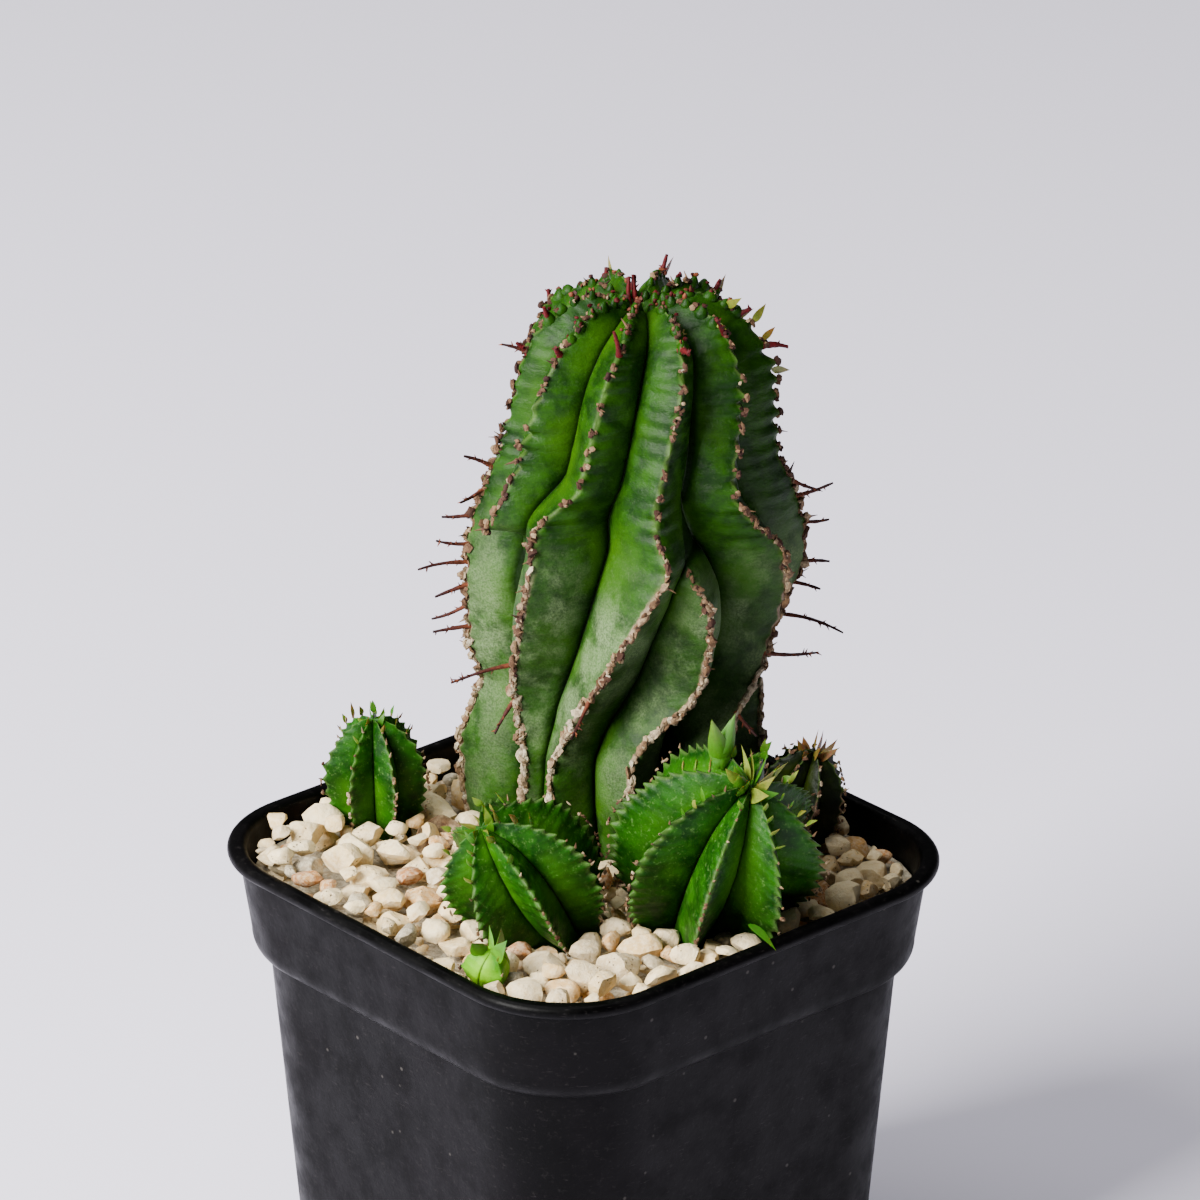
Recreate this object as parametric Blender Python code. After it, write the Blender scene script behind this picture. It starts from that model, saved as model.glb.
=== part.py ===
"""A clump of ribbed succulent euphorbia in a square black nursery pot, topped with pale gravel.

Metres, +Z up. The origin is on the surface the pot stands on, under the middle of its rim.
The pot's flat sides face +X, -X, +Y and -Y. The tall stem stands towards the +X +Y corner
and its offsets sit round its foot, most of them towards the -X -Y corner.
"""
import math
import random

import bmesh
import bpy
import numpy as np
from mathutils import Matrix, Vector

# ---------------------------------------------------------------- driving sizes
CLEARANCE = 0.0003            # the gap kept between two pieces that touch

RIM_WIDTH = 0.090             # outer width of the lip
RIM_CORNER = 0.019            # plan radius of the lip's corners
POT_HEIGHT = 0.086
WALL = 0.0012
LIP_OVERHANG = 0.0014         # how far the lip stands out from the collar
LIP_ROUND = 0.0011            # radius of the lip's rolled edge
COLLAR_HEIGHT = 0.0143
COLLAR_DRAFT = 0.00125        # how much the collar narrows on each side
COLLAR_CORNER = 0.0187
SHOULDER_STEP = 0.0022        # how far the body sits in from the collar
SHOULDER_HEIGHT = 0.0037
BODY_CORNER = 0.018
BASE_WIDTH = 0.0705
BASE_CORNER = 0.015
FOOT_WIDTH = 0.005            # the ring the pot stands on
FOOT_ROUND = 0.0012
FOOT_RAISE = 0.0012           # how far the middle of the base is raised
DRAIN_DIAMETER = 0.006
DRAIN_SPREAD = 0.017          # from the middle of the base to a drain hole, along X and Y

BED_BELOW_RIM = 0.0058        # from the lip down to the top of the gravel bed
BED_DEPTH = 0.0090
GROUND_BELOW_RIM = 0.0040     # where the loose stones on the bed reach to

STEM_HEIGHT = 0.0894          # above the loose stones
STEM_REACH = 0.0268           # from the stem's middle line to its widest rib
STEM_PLACE = (0.0160, 0.0112)
STEM_LEAN = (0.0033, -0.0030)  # how far the crown is from above the foot
STEM_FLANK = 0.0205           # share of the reach that a rib's flank falls in each degree
OFFSET_FLANK = 0.0150

SPINE_RADIUS = 0.00032
TWIG_SIDES = 6

# ------------------------------------------------------------- directing angles
# A rib's angle is counted in degrees round its stem, from the pot's -X -Y corner.
FIRST_RIB = 228.0

# The tall stem's ribs in turn: height above the stones as a share of the stem's height, angle
# in degrees, and the rib's reach as a share of the stem's own. Two ribs run for half its height.
STEM_RIBS = (
    ((0.0, -88, 1.03), (0.16, -88, 1.04), (0.28, -86, 0.97), (0.34, -84, 1.0), (0.50, -78, 0.96),
     (0.63, -82, 0.95), (0.80, -80, 0.92), (1.0, -84, 0.95)),
    ((0.0, -66, 0.7), (0.56, -60, 0.7), (0.62, -58, 1.0), (0.66, -55, 1.06), (0.74, -52, 1.0),
     (0.86, -50, 0.98), (1.0, -45, 0.98)),
    ((0.0, -44, 0.98), (0.18, -38, 0.98), (0.25, -42, 1.0), (0.34, -45, 1.0), (0.41, -41, 1.0),
     (0.50, -37, 1.0), (0.58, -34, 1.0), (0.65, -36, 1.04), (0.68, -31, 1.04), (0.72, -21, 1.0),
     (0.83, -18, 1.0), (0.91, -15, 1.0), (1.0, -8, 1.0)),
    ((0.0, -18, 0.96), (0.12, -26, 0.96), (0.20, -27, 0.98), (0.30, -18, 1.0), (0.36, -10, 1.0),
     (0.43, -3, 1.0), (0.50, 4, 1.0), (0.56, 10, 1.02), (0.60, 14, 1.03), (0.65, 10, 1.02),
     (0.70, 9, 1.0), (0.77, 13, 1.0), (0.87, 19, 1.0), (1.0, 28, 1.0)),
    ((0.0, 8, 0.98), (0.20, 5, 1.0), (0.26, 10, 1.0), (0.31, 24, 1.0), (0.36, 31, 1.0),
     (0.46, 31, 1.0), (0.53, 28, 1.0), (0.58, 22, 0.98), (0.63, 24, 0.72), (1.0, 45, 0.7)),
    ((0.0, 36, 0.98), (0.18, 43, 1.0), (0.27, 54, 1.0), (0.34, 70, 1.0), (0.42, 72, 1.0),
     (0.52, 68, 1.0), (0.59, 62, 1.02), (0.65, 50, 1.0), (0.69, 43, 1.0), (0.75, 45, 1.0),
     (0.83, 52, 1.0), (1.0, 62, 1.0)),
    ((0.0, 70, 0.98), (0.22, 84, 0.98), (0.34, 98, 1.0), (0.45, 99, 1.05), (0.55, 97, 1.05),
     (0.64, 91, 1.03), (0.70, 86, 0.98), (0.82, 87, 1.04), (1.0, 96, 1.04)),
    ((0.0, 104, 0.96), (0.25, 118, 0.98), (0.50, 133, 1.0), (0.70, 124, 1.0), (1.0, 130, 1.0)),
    ((0.0, 140, 0.96), (0.25, 154, 0.98), (0.50, 167, 1.0), (0.70, 161, 1.0), (1.0, 166, 1.0)),
    ((0.0, 182, 0.96), (0.25, 192, 0.98), (0.50, 203, 1.0), (0.70, 198, 1.0), (1.0, 202, 1.0)),
    ((0.0, 226, 0.98), (0.25, 230, 1.0), (0.50, 241, 1.0), (0.70, 236, 1.0), (1.0, 238, 1.0)),
)

# A rib's edge from the stones to the crown: height and reach as shares of the stem's own, and
# how far below the edge the groove beside it lies, as a share of the height.
STEM_EDGE = (
    (0.0, 0.80, 0.0), (0.05, 0.855, 0.0), (0.16, 0.875, 0.0), (0.27, 0.835, 0.0),
    (0.38, 0.915, 0.0), (0.50, 1.0, 0.0), (0.58, 0.985, 0.0), (0.69, 0.865, 0.0),
    (0.80, 0.795, 0.0), (0.885, 0.72, 0.005), (0.945, 0.59, 0.012), (0.985, 0.40, 0.025),
    (1.0, 0.22, 0.025), (0.99, 0.08, 0.01), (0.98, 0.0, 0.0),
)
STEM_ROWS = 28
BURIED_EDGE = 0.62            # reach just above the stem's foot, as a share

OFFSET_EDGE = (
    (0.0, 0.66, 0.0), (0.18, 0.88, 0.0), (0.40, 1.0, 0.0), (0.60, 0.97, 0.0),
    (0.78, 0.80, 0.01), (0.91, 0.54, 0.03), (0.985, 0.26, 0.04), (1.0, 0.10, 0.02),
    (0.985, 0.0, 0.0),
)
OFFSET_ROWS = 14

# The offsets: height, reach, ribs, depth in the gravel, how far they lean, the way they lean and
# the way they stand from the tall stem, in degrees round the upright from +X, and the space that
# is left between their ribs and the stem's. Their twist turns the ribs from foot to crown.
OFFSETS = {
    "offset_front_left": dict(height=0.0240, reach=0.0124, ribs=7, buried=0.0045, lean=36.0,
                              lean_to=170.0, stands=216.0, space=0.0036, twist=18.0, turn=8.0),
    "offset_front_right": dict(height=0.0300, reach=0.0163, ribs=8, buried=0.0045, lean=29.0,
                               lean_to=268.0, stands=249.0, space=-0.0035, twist=-14.0, turn=0.0),
    "offset_back_left": dict(height=0.0195, reach=0.0082, ribs=7, buried=0.0050, lean=5.0,
                             lean_to=200.0, stands=144.0, space=0.0073, twist=6.0, turn=20.0),
    "offset_back_right": dict(height=0.0170, reach=0.0072, ribs=7, buried=0.0050, lean=14.0,
                              lean_to=300.0, stands=300.0, space=0.0006, twist=10.0, turn=10.0),
    "sprout_front": dict(height=0.0062, reach=0.0040, ribs=3, buried=0.0015, lean=18.0,
                         lean_to=250.0, stands=210.3, space=0.0349, twist=0.0, turn=30.0),
}

# Spines on the tall stem: rib, height as a share, length, and how far each points up and
# sideways from straight out, in degrees.
SPINES = (
    (0, 0.385, 0.0058, -2, 4), (0, 0.43, 0.0056, -18, 4), (0, 0.47, 0.0052, -12, -6),
    (0, 0.515, 0.0086, 4, 2), (0, 0.55, 0.0054, 14, 6), (0, 0.60, 0.0045, 2, -4),
    (0, 0.645, 0.0053, -4, 6), (0, 0.69, 0.0050, 28, 0), (0, 0.90, 0.0040, 24, 4),
    (2, 0.385, 0.0100, -8, -30), (2, 0.315, 0.0066, -40, -18), (3, 0.345, 0.0075, -28, 10),
    (5, 0.36, 0.0095, -12, 14), (5, 0.27, 0.0045, -40, 8),
    (6, 0.375, 0.0105, -14, -14), (6, 0.435, 0.0044, -12, -4), (6, 0.475, 0.0042, -6, 6),
    (6, 0.555, 0.0038, 4, 0), (6, 0.615, 0.0058, 20, 8), (6, 0.65, 0.0045, -24, -4),
    (2, 0.955, 0.0042, 70, 0), (5, 0.955, 0.0044, 50, 0), (9, 0.985, 0.0040, 75, 0),
    (10, 0.975, 0.0040, 70, 0),
)

# The biggest loose stones: place as shares of the pot's inner half width, and length.
STONES = (
    (-0.70, 0.80, 0.0090), (-0.62, 0.58, 0.0082), (-0.84, 0.60, 0.0060), (-0.52, 0.36, 0.0064),
    (-0.82, 0.36, 0.0058), (-0.66, 0.16, 0.0070), (-0.86, 0.08, 0.0060), (-0.74, -0.03, 0.0056),
    (-0.80, -0.20, 0.0062), (-0.64, -0.52, 0.0072), (0.68, -0.63, 0.0060), (-0.46, -0.72, 0.0078),
    (-0.74, -0.72, 0.0060), (0.52, -0.78, 0.0064), (0.76, -0.78, 0.0070), (0.88, -0.56, 0.0062),
    (0.48, -0.56, 0.0056), (-0.02, 0.86, 0.0064), (0.30, 0.88, 0.0058), (0.76, 0.80, 0.0066),
)
STONE_FLAT = 0.72             # a stone's height and width as shares of its length
STONE_NARROW = 0.84
STONE_ROUGH = 0.10

CORNER_STEPS = 6

ground = POT_HEIGHT - GROUND_BELOW_RIM
bed_top = POT_HEIGHT - BED_BELOW_RIM
soil_top = bed_top - BED_DEPTH - CLEARANCE
floor_top = FOOT_RAISE + WALL
collar_top = POT_HEIGHT - 2 * LIP_ROUND
collar_foot = POT_HEIGHT - COLLAR_HEIGHT
shoulder_foot = collar_foot - SHOULDER_HEIGHT
collar_width = RIM_WIDTH - 2 * LIP_OVERHANG
collar_foot_width = collar_width - 2 * COLLAR_DRAFT
body_width = collar_foot_width - 2 * SHOULDER_STEP


# ------------------------------------------------------------------ the helpers
def clear_scene():
    for thing in list(bpy.data.objects):
        bpy.data.objects.remove(thing, do_unlink=True)


def new_collection(name):
    collection = bpy.data.collections.new(name)
    bpy.context.scene.collection.children.link(collection)
    return collection


def new_material(name, colour, roughness, metallic=0.0):
    material = bpy.data.materials.new(name)
    material.use_nodes = True
    shader = material.node_tree.nodes["Principled BSDF"]
    shader.inputs["Base Color"].default_value = (*colour, 1.0)
    shader.inputs["Roughness"].default_value = roughness
    shader.inputs["Metallic"].default_value = metallic
    return material


def add_object(name, bm, material, collection, sharp=40.0):
    bmesh.ops.recalc_face_normals(bm, faces=bm.faces)
    mesh = bpy.data.meshes.new(name)
    bm.to_mesh(mesh)
    bm.free()
    mesh.materials.append(material)
    mesh.shade_smooth()
    mesh.set_sharp_from_angle(angle=math.radians(sharp))
    thing = bpy.data.objects.new(name, mesh)
    collection.objects.link(thing)
    return thing


def cut(thing, cutter):
    cutter.hide_render = True
    cutter.display_type = "WIRE"
    modifier = thing.modifiers.new(cutter.name, "BOOLEAN")
    modifier.operation = "DIFFERENCE"
    modifier.solver = "EXACT"
    modifier.object = cutter


def rounded_square(bm, width, corner, z):
    """A ring of vertices round a square with round corners."""
    ring = []
    middle = width / 2 - corner
    for quarter in range(4):
        start = quarter * math.pi / 2
        centre = Vector((middle, middle, 0.0))
        centre.rotate(Matrix.Rotation(start, 3, "Z"))
        for step in range(CORNER_STEPS + 1):
            angle = start + step / CORNER_STEPS * math.pi / 2
            arm = Vector((math.cos(angle), math.sin(angle), 0.0)) * corner
            ring.append(bm.verts.new(centre + arm + Vector((0.0, 0.0, z))))
    return ring


def loft(name, sections, material, collection):
    """A closed body through (width, corner, z) sections, with a flat face at both ends."""
    bm = bmesh.new()
    rings = [rounded_square(bm, *section) for section in sections]
    bm.faces.new(rings[0])
    bm.faces.new(rings[-1])
    for low, high in zip(rings, rings[1:]):
        for here in range(len(low)):
            after = (here + 1) % len(low)
            bm.faces.new((low[here], low[after], high[after], high[here]))
    return add_object(name, bm, material, collection)


# ---------------------------------------------------------------------- the pot
def shoulder(wall):
    """The rounded step from the collar in to the body, top to bottom, wall in from outside."""
    sections = []
    for step in range(5):
        angle = step / 4 * math.pi / 2
        width = collar_foot_width - 2 * SHOULDER_STEP * (1 - math.cos(angle)) - 2 * wall
        corner = COLLAR_CORNER + (BODY_CORNER - COLLAR_CORNER) * step / 4 - wall
        z = collar_foot - (SHOULDER_HEIGHT - wall) * math.sin(angle)
        sections.append((width, corner, z))
    return sections


def inner_width(z):
    """The width and corner between the collar's inner walls at a height."""
    share = (z - collar_foot) / (collar_top - collar_foot)
    width = collar_foot_width + (collar_width - collar_foot_width) * share - 2 * WALL
    return width, COLLAR_CORNER - WALL


def build_pot(material, collection, cutters):
    foot_inner = BASE_WIDTH - 2 * FOOT_WIDTH
    foot_corner = BASE_CORNER - FOOT_WIDTH
    sections = [
        (foot_inner, foot_corner, FOOT_RAISE),
        (foot_inner, foot_corner, 0.0),
        (BASE_WIDTH - 2 * FOOT_ROUND, BASE_CORNER - FOOT_ROUND, 0.0),
        (BASE_WIDTH, BASE_CORNER, FOOT_ROUND),
    ]
    sections += reversed(shoulder(0.0))
    sections.append((collar_width, COLLAR_CORNER, collar_top))
    for step in range(5):
        angle = (step / 4 - 0.5) * math.pi
        inset = LIP_ROUND * (1 - math.cos(angle))
        sections.append((RIM_WIDTH - 2 * inset, RIM_CORNER - inset,
                         POT_HEIGHT - LIP_ROUND + LIP_ROUND * math.sin(angle)))
    lip_inset = LIP_OVERHANG + WALL
    sections.append((RIM_WIDTH - 2 * lip_inset + LIP_ROUND, RIM_CORNER - lip_inset + LIP_ROUND / 2,
                     POT_HEIGHT))
    sections.append((*inner_width(POT_HEIGHT - LIP_ROUND), POT_HEIGHT - LIP_ROUND))
    sections += shoulder(WALL)
    sections.append((BASE_WIDTH - 2 * WALL, BASE_CORNER - WALL, floor_top))
    pot = loft("pot", sections, material, collection)
    places = [(0.0, 0.0)]
    places += [(x * DRAIN_SPREAD, y * DRAIN_SPREAD) for x in (-1, 1) for y in (-1, 1)]
    for index, (x, y) in enumerate(places):
        bm = bmesh.new()
        bmesh.ops.create_cone(bm, cap_ends=True, segments=16, radius1=DRAIN_DIAMETER / 2,
                              radius2=DRAIN_DIAMETER / 2, depth=4 * floor_top,
                              matrix=Matrix.Translation((x, y, floor_top)))
        cut(pot, add_object(f"drain_cutter_{index + 1}", bm, material, cutters))
    return pot


def room_at(z):
    """The section of the room inside the pot at a height, less the clearance to its wall."""
    if z > collar_foot:
        width, corner = inner_width(z)
        return width - 2 * CLEARANCE, corner - CLEARANCE, z
    share = min((z - floor_top) / (shoulder_foot + WALL - floor_top), 1.0)
    width = BASE_WIDTH + (body_width - BASE_WIDTH) * share
    corner = BASE_CORNER + (BODY_CORNER - BASE_CORNER) * share
    return width - 2 * (WALL + CLEARANCE), corner - WALL - CLEARANCE, z


def build_filling(name, low, high, material, collection):
    """What fills the pot between two heights."""
    bends = (shoulder_foot + WALL, collar_foot + CLEARANCE)
    heights = [low, *(bend for bend in bends if low < bend < high), high]
    return loft(name, [room_at(z) for z in heights], material, collection)


# -------------------------------------------------------------------- the stems
def rib_at(rib, height):
    """A rib's angle and reach share at a height share."""
    heights = [point[0] for point in rib]
    angle = np.interp(height, heights, [point[1] for point in rib])
    reach = np.interp(height, heights, [point[2] for point in rib])
    return float(angle), float(reach)


def even_ribs(count, twist, turn):
    """Ribs evenly spaced round an offset, each turning by twist degrees from foot to crown."""
    starts = [turn + 360.0 * index / count for index in range(count)]
    return tuple(((0.0, start, 1.0), (1.0, start + twist, 1.0)) for start in starts)


def edge_rows(edge, rows):
    """Points at even distances along the edge from the stones to the crown."""
    points = np.array(edge)
    steps = np.hypot(np.diff(points[:, 0]) * 2.5, np.diff(points[:, 1]))
    along = np.concatenate(([0.0], np.cumsum(steps)))
    at = np.linspace(0.0, along[-1], rows)
    return [tuple(float(np.interp(a, along, points[:, k])) for k in range(3)) for a in at]


def crease_angle(left, right, flank):
    """Where the flanks of two neighbouring ribs meet, as a share of the way from left to right."""
    gap = right[0] - left[0]
    share = 0.5 + (left[1] - right[1]) / (2 * flank * gap)
    return min(max(share, 0.2), 0.8)


def ribbed_section(ribs, height, flank):
    """Four (angle, reach share, crest share) points for each rib: its edge, its flank, the
    groove and the next rib's flank."""
    crests = [rib_at(rib, height) for rib in ribs]
    section = []
    for index, left in enumerate(crests):
        right = crests[(index + 1) % len(crests)]
        if index == len(crests) - 1:
            right = (right[0] + 360.0, right[1])
        gap = right[0] - left[0]
        share = crease_angle(left, right, flank)
        groove = max(left[1] - flank * share * gap, right[1] - flank * (1 - share) * gap)
        groove = max(groove, 0.45)
        section.append((left[0], max(left[1], groove), 1.0))
        section.append((left[0] + gap * share / 2, (max(left[1], groove) + groove) / 2, 0.5))
        section.append((left[0] + gap * share, groove, 0.0))
        section.append((left[0] + gap * (1 + share) / 2, (max(right[1], groove) + groove) / 2, 0.5))
    return section


def ribbed_body(name, ribs, edge, rows, height, reach, foot, flank, grow, material, collection):
    """An upright ribbed body on its own origin, its foot a depth below the stones. A positive
    grow makes the hole that a body of this shape sits in."""
    columns = 4 * len(ribs)
    above = edge_rows(edge, rows)
    first = above[0]
    buried = [(-foot / height, 0.0, 0.0), (-foot / height, first[1] * BURIED_EDGE, 0.0),
              (-foot / height / 2, first[1] * (1 + BURIED_EDGE) / 2, 0.0)]
    levels = buried + above
    bm = bmesh.new()
    bmesh.ops.create_uvsphere(bm, u_segments=columns, v_segments=len(levels) - 1, radius=1.0)
    for vertex in bm.verts:
        level = round((1 - math.acos(max(-1.0, min(1.0, vertex.co.z))) / math.pi)
                      * (len(levels) - 1))
        column = round(math.atan2(vertex.co.y, vertex.co.x) / (2 * math.pi) * columns) % columns
        share, edge_reach, drop = levels[level]
        angle, rib_reach, crest = ribbed_section(ribs, max(share, 0.0), flank)[column]
        out = edge_reach * rib_reach * reach + (grow if edge_reach > 0 else 0.0)
        z = (share - drop * (1 - crest)) * height
        if grow:
            z += grow if level > 3 else -grow
        turn = math.radians(FIRST_RIB + angle)
        vertex.co = (out * math.cos(turn), out * math.sin(turn), z)
    return add_object(name, bm, material, collection, sharp=60.0)


def lean_over(thing, height, lean):
    """Shear an upright body sideways, from none at its foot to the whole lean at its crown."""
    for vertex in thing.data.vertices:
        share = max(vertex.co.z, 0.0) / height
        vertex.co.x += lean[0] * share
        vertex.co.y += lean[1] * share


def build_stem(grow, name, material, collection):
    foot = ground - soil_top - CLEARANCE
    stem = ribbed_body(name, STEM_RIBS, STEM_EDGE, STEM_ROWS, STEM_HEIGHT, STEM_REACH, foot,
                       STEM_FLANK, grow, material, collection)
    lean_over(stem, STEM_HEIGHT, STEM_LEAN)
    stem.location = (*STEM_PLACE, ground)
    return stem


def offset_matrix(spec):
    """Where an offset stands: out from the tall stem's foot, tipped the way it leans."""
    way = math.radians(spec["stands"])
    distance = STEM_EDGE[0][1] * STEM_REACH + spec["reach"] + spec["space"]
    foot = Vector((STEM_PLACE[0] + distance * math.cos(way),
                   STEM_PLACE[1] + distance * math.sin(way), ground))
    lean_to = math.radians(spec["lean_to"])
    hinge = Vector((-math.sin(lean_to), math.cos(lean_to), 0.0))
    return Matrix.Translation(foot) @ Matrix.Rotation(math.radians(spec["lean"]), 4, hinge)


def build_offset(name, spec, grow, material, collection):
    ribs = even_ribs(spec["ribs"], spec["twist"], spec["turn"])
    body = ribbed_body(name, ribs, OFFSET_EDGE, OFFSET_ROWS, spec["height"], spec["reach"],
                       spec["buried"], OFFSET_FLANK, grow, material, collection)
    body.matrix_world = offset_matrix(spec)
    return body


# ------------------------------------------------------------- the small pieces
def rib_point(index, height):
    """A point on a rib's edge, and the way straight out from there."""
    share, edge_reach, _ = min(edge_rows(STEM_EDGE, 200), key=lambda row: abs(row[0] - height))
    angle, rib_reach = rib_at(STEM_RIBS[index], share)
    turn = math.radians(FIRST_RIB + angle)
    out = edge_reach * rib_reach * STEM_REACH
    place = Vector((STEM_PLACE[0] + STEM_LEAN[0] * share + out * math.cos(turn),
                    STEM_PLACE[1] + STEM_LEAN[1] * share + out * math.sin(turn),
                    ground + share * STEM_HEIGHT))
    return place, turn


def build_spine(number, spec, material, collection):
    """A dry flower stalk: a slim cone that stands on a rib's edge."""
    index, height, length, up, side = spec
    place, turn = rib_point(index, height)
    way = Vector((math.cos(turn + math.radians(side)) * math.cos(math.radians(up)),
                  math.sin(turn + math.radians(side)) * math.cos(math.radians(up)),
                  math.sin(math.radians(up))))
    middle = place + way * (length / 2 + CLEARANCE + SPINE_RADIUS)
    bm = bmesh.new()
    bmesh.ops.create_cone(bm, cap_ends=True, segments=TWIG_SIDES, radius1=SPINE_RADIUS,
                          radius2=SPINE_RADIUS / 2, depth=length)
    spine = add_object(f"spine_{number:02d}", bm, material, collection)
    turn_to = way.to_track_quat("Z", "Y").to_matrix().to_4x4()
    spine.matrix_world = Matrix.Translation(middle) @ turn_to
    return spine


def build_stone(number, spec, material, collection):
    """One of the bigger loose stones, resting on the gravel bed."""
    x_share, y_share, length = spec
    dice = random.Random(number)
    half = inner_width(bed_top)[0] / 2
    bm = bmesh.new()
    bmesh.ops.create_icosphere(bm, subdivisions=2, radius=length / 2)
    bmesh.ops.transform(bm, verts=bm.verts, matrix=Matrix.Diagonal((1.0, STONE_NARROW,
                                                                    STONE_FLAT, 1.0)))
    for vertex in bm.verts:
        vertex.co *= 1.0 - STONE_ROUGH * dice.random()
    bmesh.ops.rotate(bm, verts=bm.verts, matrix=Matrix.Rotation(dice.uniform(0, math.pi), 3, "Z"))
    stone = add_object(f"stone_{number:02d}", bm, material, collection, sharp=30.0)
    lowest = min(vertex.co.z for vertex in stone.data.vertices)
    stone.location = (x_share * half, y_share * half, bed_top + CLEARANCE - lowest)
    return stone


LEAF_LENGTH = 0.0060          # the withered leaf that hangs over the lip
LEAF_WIDTH = 0.0018
LEAF_THICKNESS = 0.0004
HUSK_LENGTH = 0.0085          # the dry scrap beside the stem's foot
HUSK_WIDTH = 0.0060
HUSK_THICKNESS = 0.0009


def build_flake(name, length, width, thickness, matrix, material, collection):
    """A thin pointed flake: a leaf or a scrap of dry skin."""
    bm = bmesh.new()
    bmesh.ops.create_uvsphere(bm, u_segments=8, v_segments=8, radius=0.5)
    bmesh.ops.transform(bm, verts=bm.verts, matrix=Matrix.Diagonal((length, width, thickness, 1)))
    flake = add_object(name, bm, material, collection)
    flake.matrix_world = matrix
    return flake


def main():
    clear_scene()
    parts = new_collection("potted_euphorbia")
    cutters = new_collection("cutters")
    black = new_material("black_plastic", (0.012, 0.012, 0.013), 0.42)
    earth = new_material("earth", (0.045, 0.030, 0.020), 0.95)
    pale_stone = new_material("pale_stone", (0.62, 0.53, 0.40), 0.85)
    green = new_material("green_skin", (0.045, 0.130, 0.035), 0.50)
    young_green = new_material("young_green_skin", (0.050, 0.190, 0.025), 0.45)
    dark_green = new_material("dark_green_skin", (0.030, 0.060, 0.025), 0.60)
    twig = new_material("dry_twig", (0.060, 0.025, 0.020), 0.80)
    husk_brown = new_material("husk_brown", (0.42, 0.30, 0.19), 0.90)

    build_pot(black, parts, cutters)
    build_filling("potting_soil", floor_top + CLEARANCE, soil_top, earth, parts)
    bed = build_filling("gravel_bed", soil_top + CLEARANCE, bed_top, pale_stone, parts)
    build_stem(0.0, "main_stem", green, parts)
    cut(bed, build_stem(CLEARANCE * 2, "main_stem_cutter", green, cutters))
    for name, spec in OFFSETS.items():
        skin = dark_green if name == "offset_back_right" else young_green
        build_offset(name, spec, 0.0, skin, parts)
        cut(bed, build_offset(f"{name}_cutter", spec, CLEARANCE * 2, skin, cutters))
    for number, spec in enumerate(SPINES, 1):
        build_spine(number, spec, twig, parts)
    for number, spec in enumerate(STONES, 1):
        build_stone(number, spec, pale_stone, parts)

    lip = RIM_WIDTH / 2
    leaf_place = Matrix.Translation((-0.002, -lip + LIP_OVERHANG, POT_HEIGHT + 0.0012))
    leaf_turn = Matrix.Rotation(math.radians(-90), 4, "Z")
    leaf_dip = Matrix.Rotation(math.radians(12), 4, "Y")
    build_flake("rim_leaf", LEAF_LENGTH, LEAF_WIDTH, LEAF_THICKNESS,
                leaf_place @ leaf_turn @ leaf_dip, young_green, parts)
    way = math.radians(160.0)
    distance = STEM_EDGE[0][1] * STEM_REACH + HUSK_LENGTH / 2 + 0.0035
    husk_place = Matrix.Translation((STEM_PLACE[0] + distance * math.cos(way),
                                     STEM_PLACE[1] + distance * math.sin(way),
                                     bed_top + HUSK_THICKNESS / 2 + CLEARANCE))
    build_flake("dry_husk", HUSK_LENGTH, HUSK_WIDTH, HUSK_THICKNESS,
                husk_place @ Matrix.Rotation(way + 0.6, 4, "Z"), husk_brown, parts)


main()
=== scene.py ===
import math
import random

import bmesh
import bpy
import numpy as np
from mathutils import Matrix, Vector
from mathutils.bvhtree import BVHTree


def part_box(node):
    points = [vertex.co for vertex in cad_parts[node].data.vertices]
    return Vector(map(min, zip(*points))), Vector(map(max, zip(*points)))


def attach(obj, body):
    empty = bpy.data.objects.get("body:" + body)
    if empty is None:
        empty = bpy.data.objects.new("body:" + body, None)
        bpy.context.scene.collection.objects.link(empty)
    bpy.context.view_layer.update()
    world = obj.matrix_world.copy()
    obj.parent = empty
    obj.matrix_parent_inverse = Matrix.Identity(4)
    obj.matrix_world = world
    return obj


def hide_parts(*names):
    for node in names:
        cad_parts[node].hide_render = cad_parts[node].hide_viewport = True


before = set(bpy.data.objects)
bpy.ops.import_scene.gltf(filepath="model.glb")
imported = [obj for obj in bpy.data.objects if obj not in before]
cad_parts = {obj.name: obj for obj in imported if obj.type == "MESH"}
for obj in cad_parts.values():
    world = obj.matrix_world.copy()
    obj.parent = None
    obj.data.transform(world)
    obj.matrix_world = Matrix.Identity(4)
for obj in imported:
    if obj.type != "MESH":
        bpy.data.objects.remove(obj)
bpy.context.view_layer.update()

# --------------------------------------------------------------------------- the camera
# A long lens a little over a metre from the pot looks down on one of the pot's corners. It
# points above the rim, so that the stem stands in the middle of the picture.
pot_low, pot_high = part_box("pot")
RIM_CENTRE = Vector((0.0, 0.0, pot_high[2]))
CAMERA_TURN = math.radians(-41.4)
CAMERA_TILT = math.radians(24.1)
CAMERA_DISTANCE = 1.10
PICTURE_WIDTH = 0.1875          # what the picture takes in at the pot
AIM_RIGHT = 0.0027
AIM_UP = 0.0383
SENSOR = 36.0

back = Vector((math.sin(CAMERA_TURN) * math.cos(CAMERA_TILT),
               -math.cos(CAMERA_TURN) * math.cos(CAMERA_TILT),
               math.sin(CAMERA_TILT)))
right = Vector((math.cos(CAMERA_TURN), math.sin(CAMERA_TURN), 0.0))
up = back.cross(right)
lens = bpy.data.cameras.new("camera")
lens.sensor_width = SENSOR
lens.lens = SENSOR * CAMERA_DISTANCE / PICTURE_WIDTH
camera = bpy.data.objects.new("camera", lens)
camera.matrix_world = Matrix.Translation(
    RIM_CENTRE + right * AIM_RIGHT + up * AIM_UP + back * CAMERA_DISTANCE
) @ Matrix((right, up, back)).transposed().to_4x4()
bpy.context.scene.collection.objects.link(camera)
bpy.context.scene.camera = camera

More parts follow.
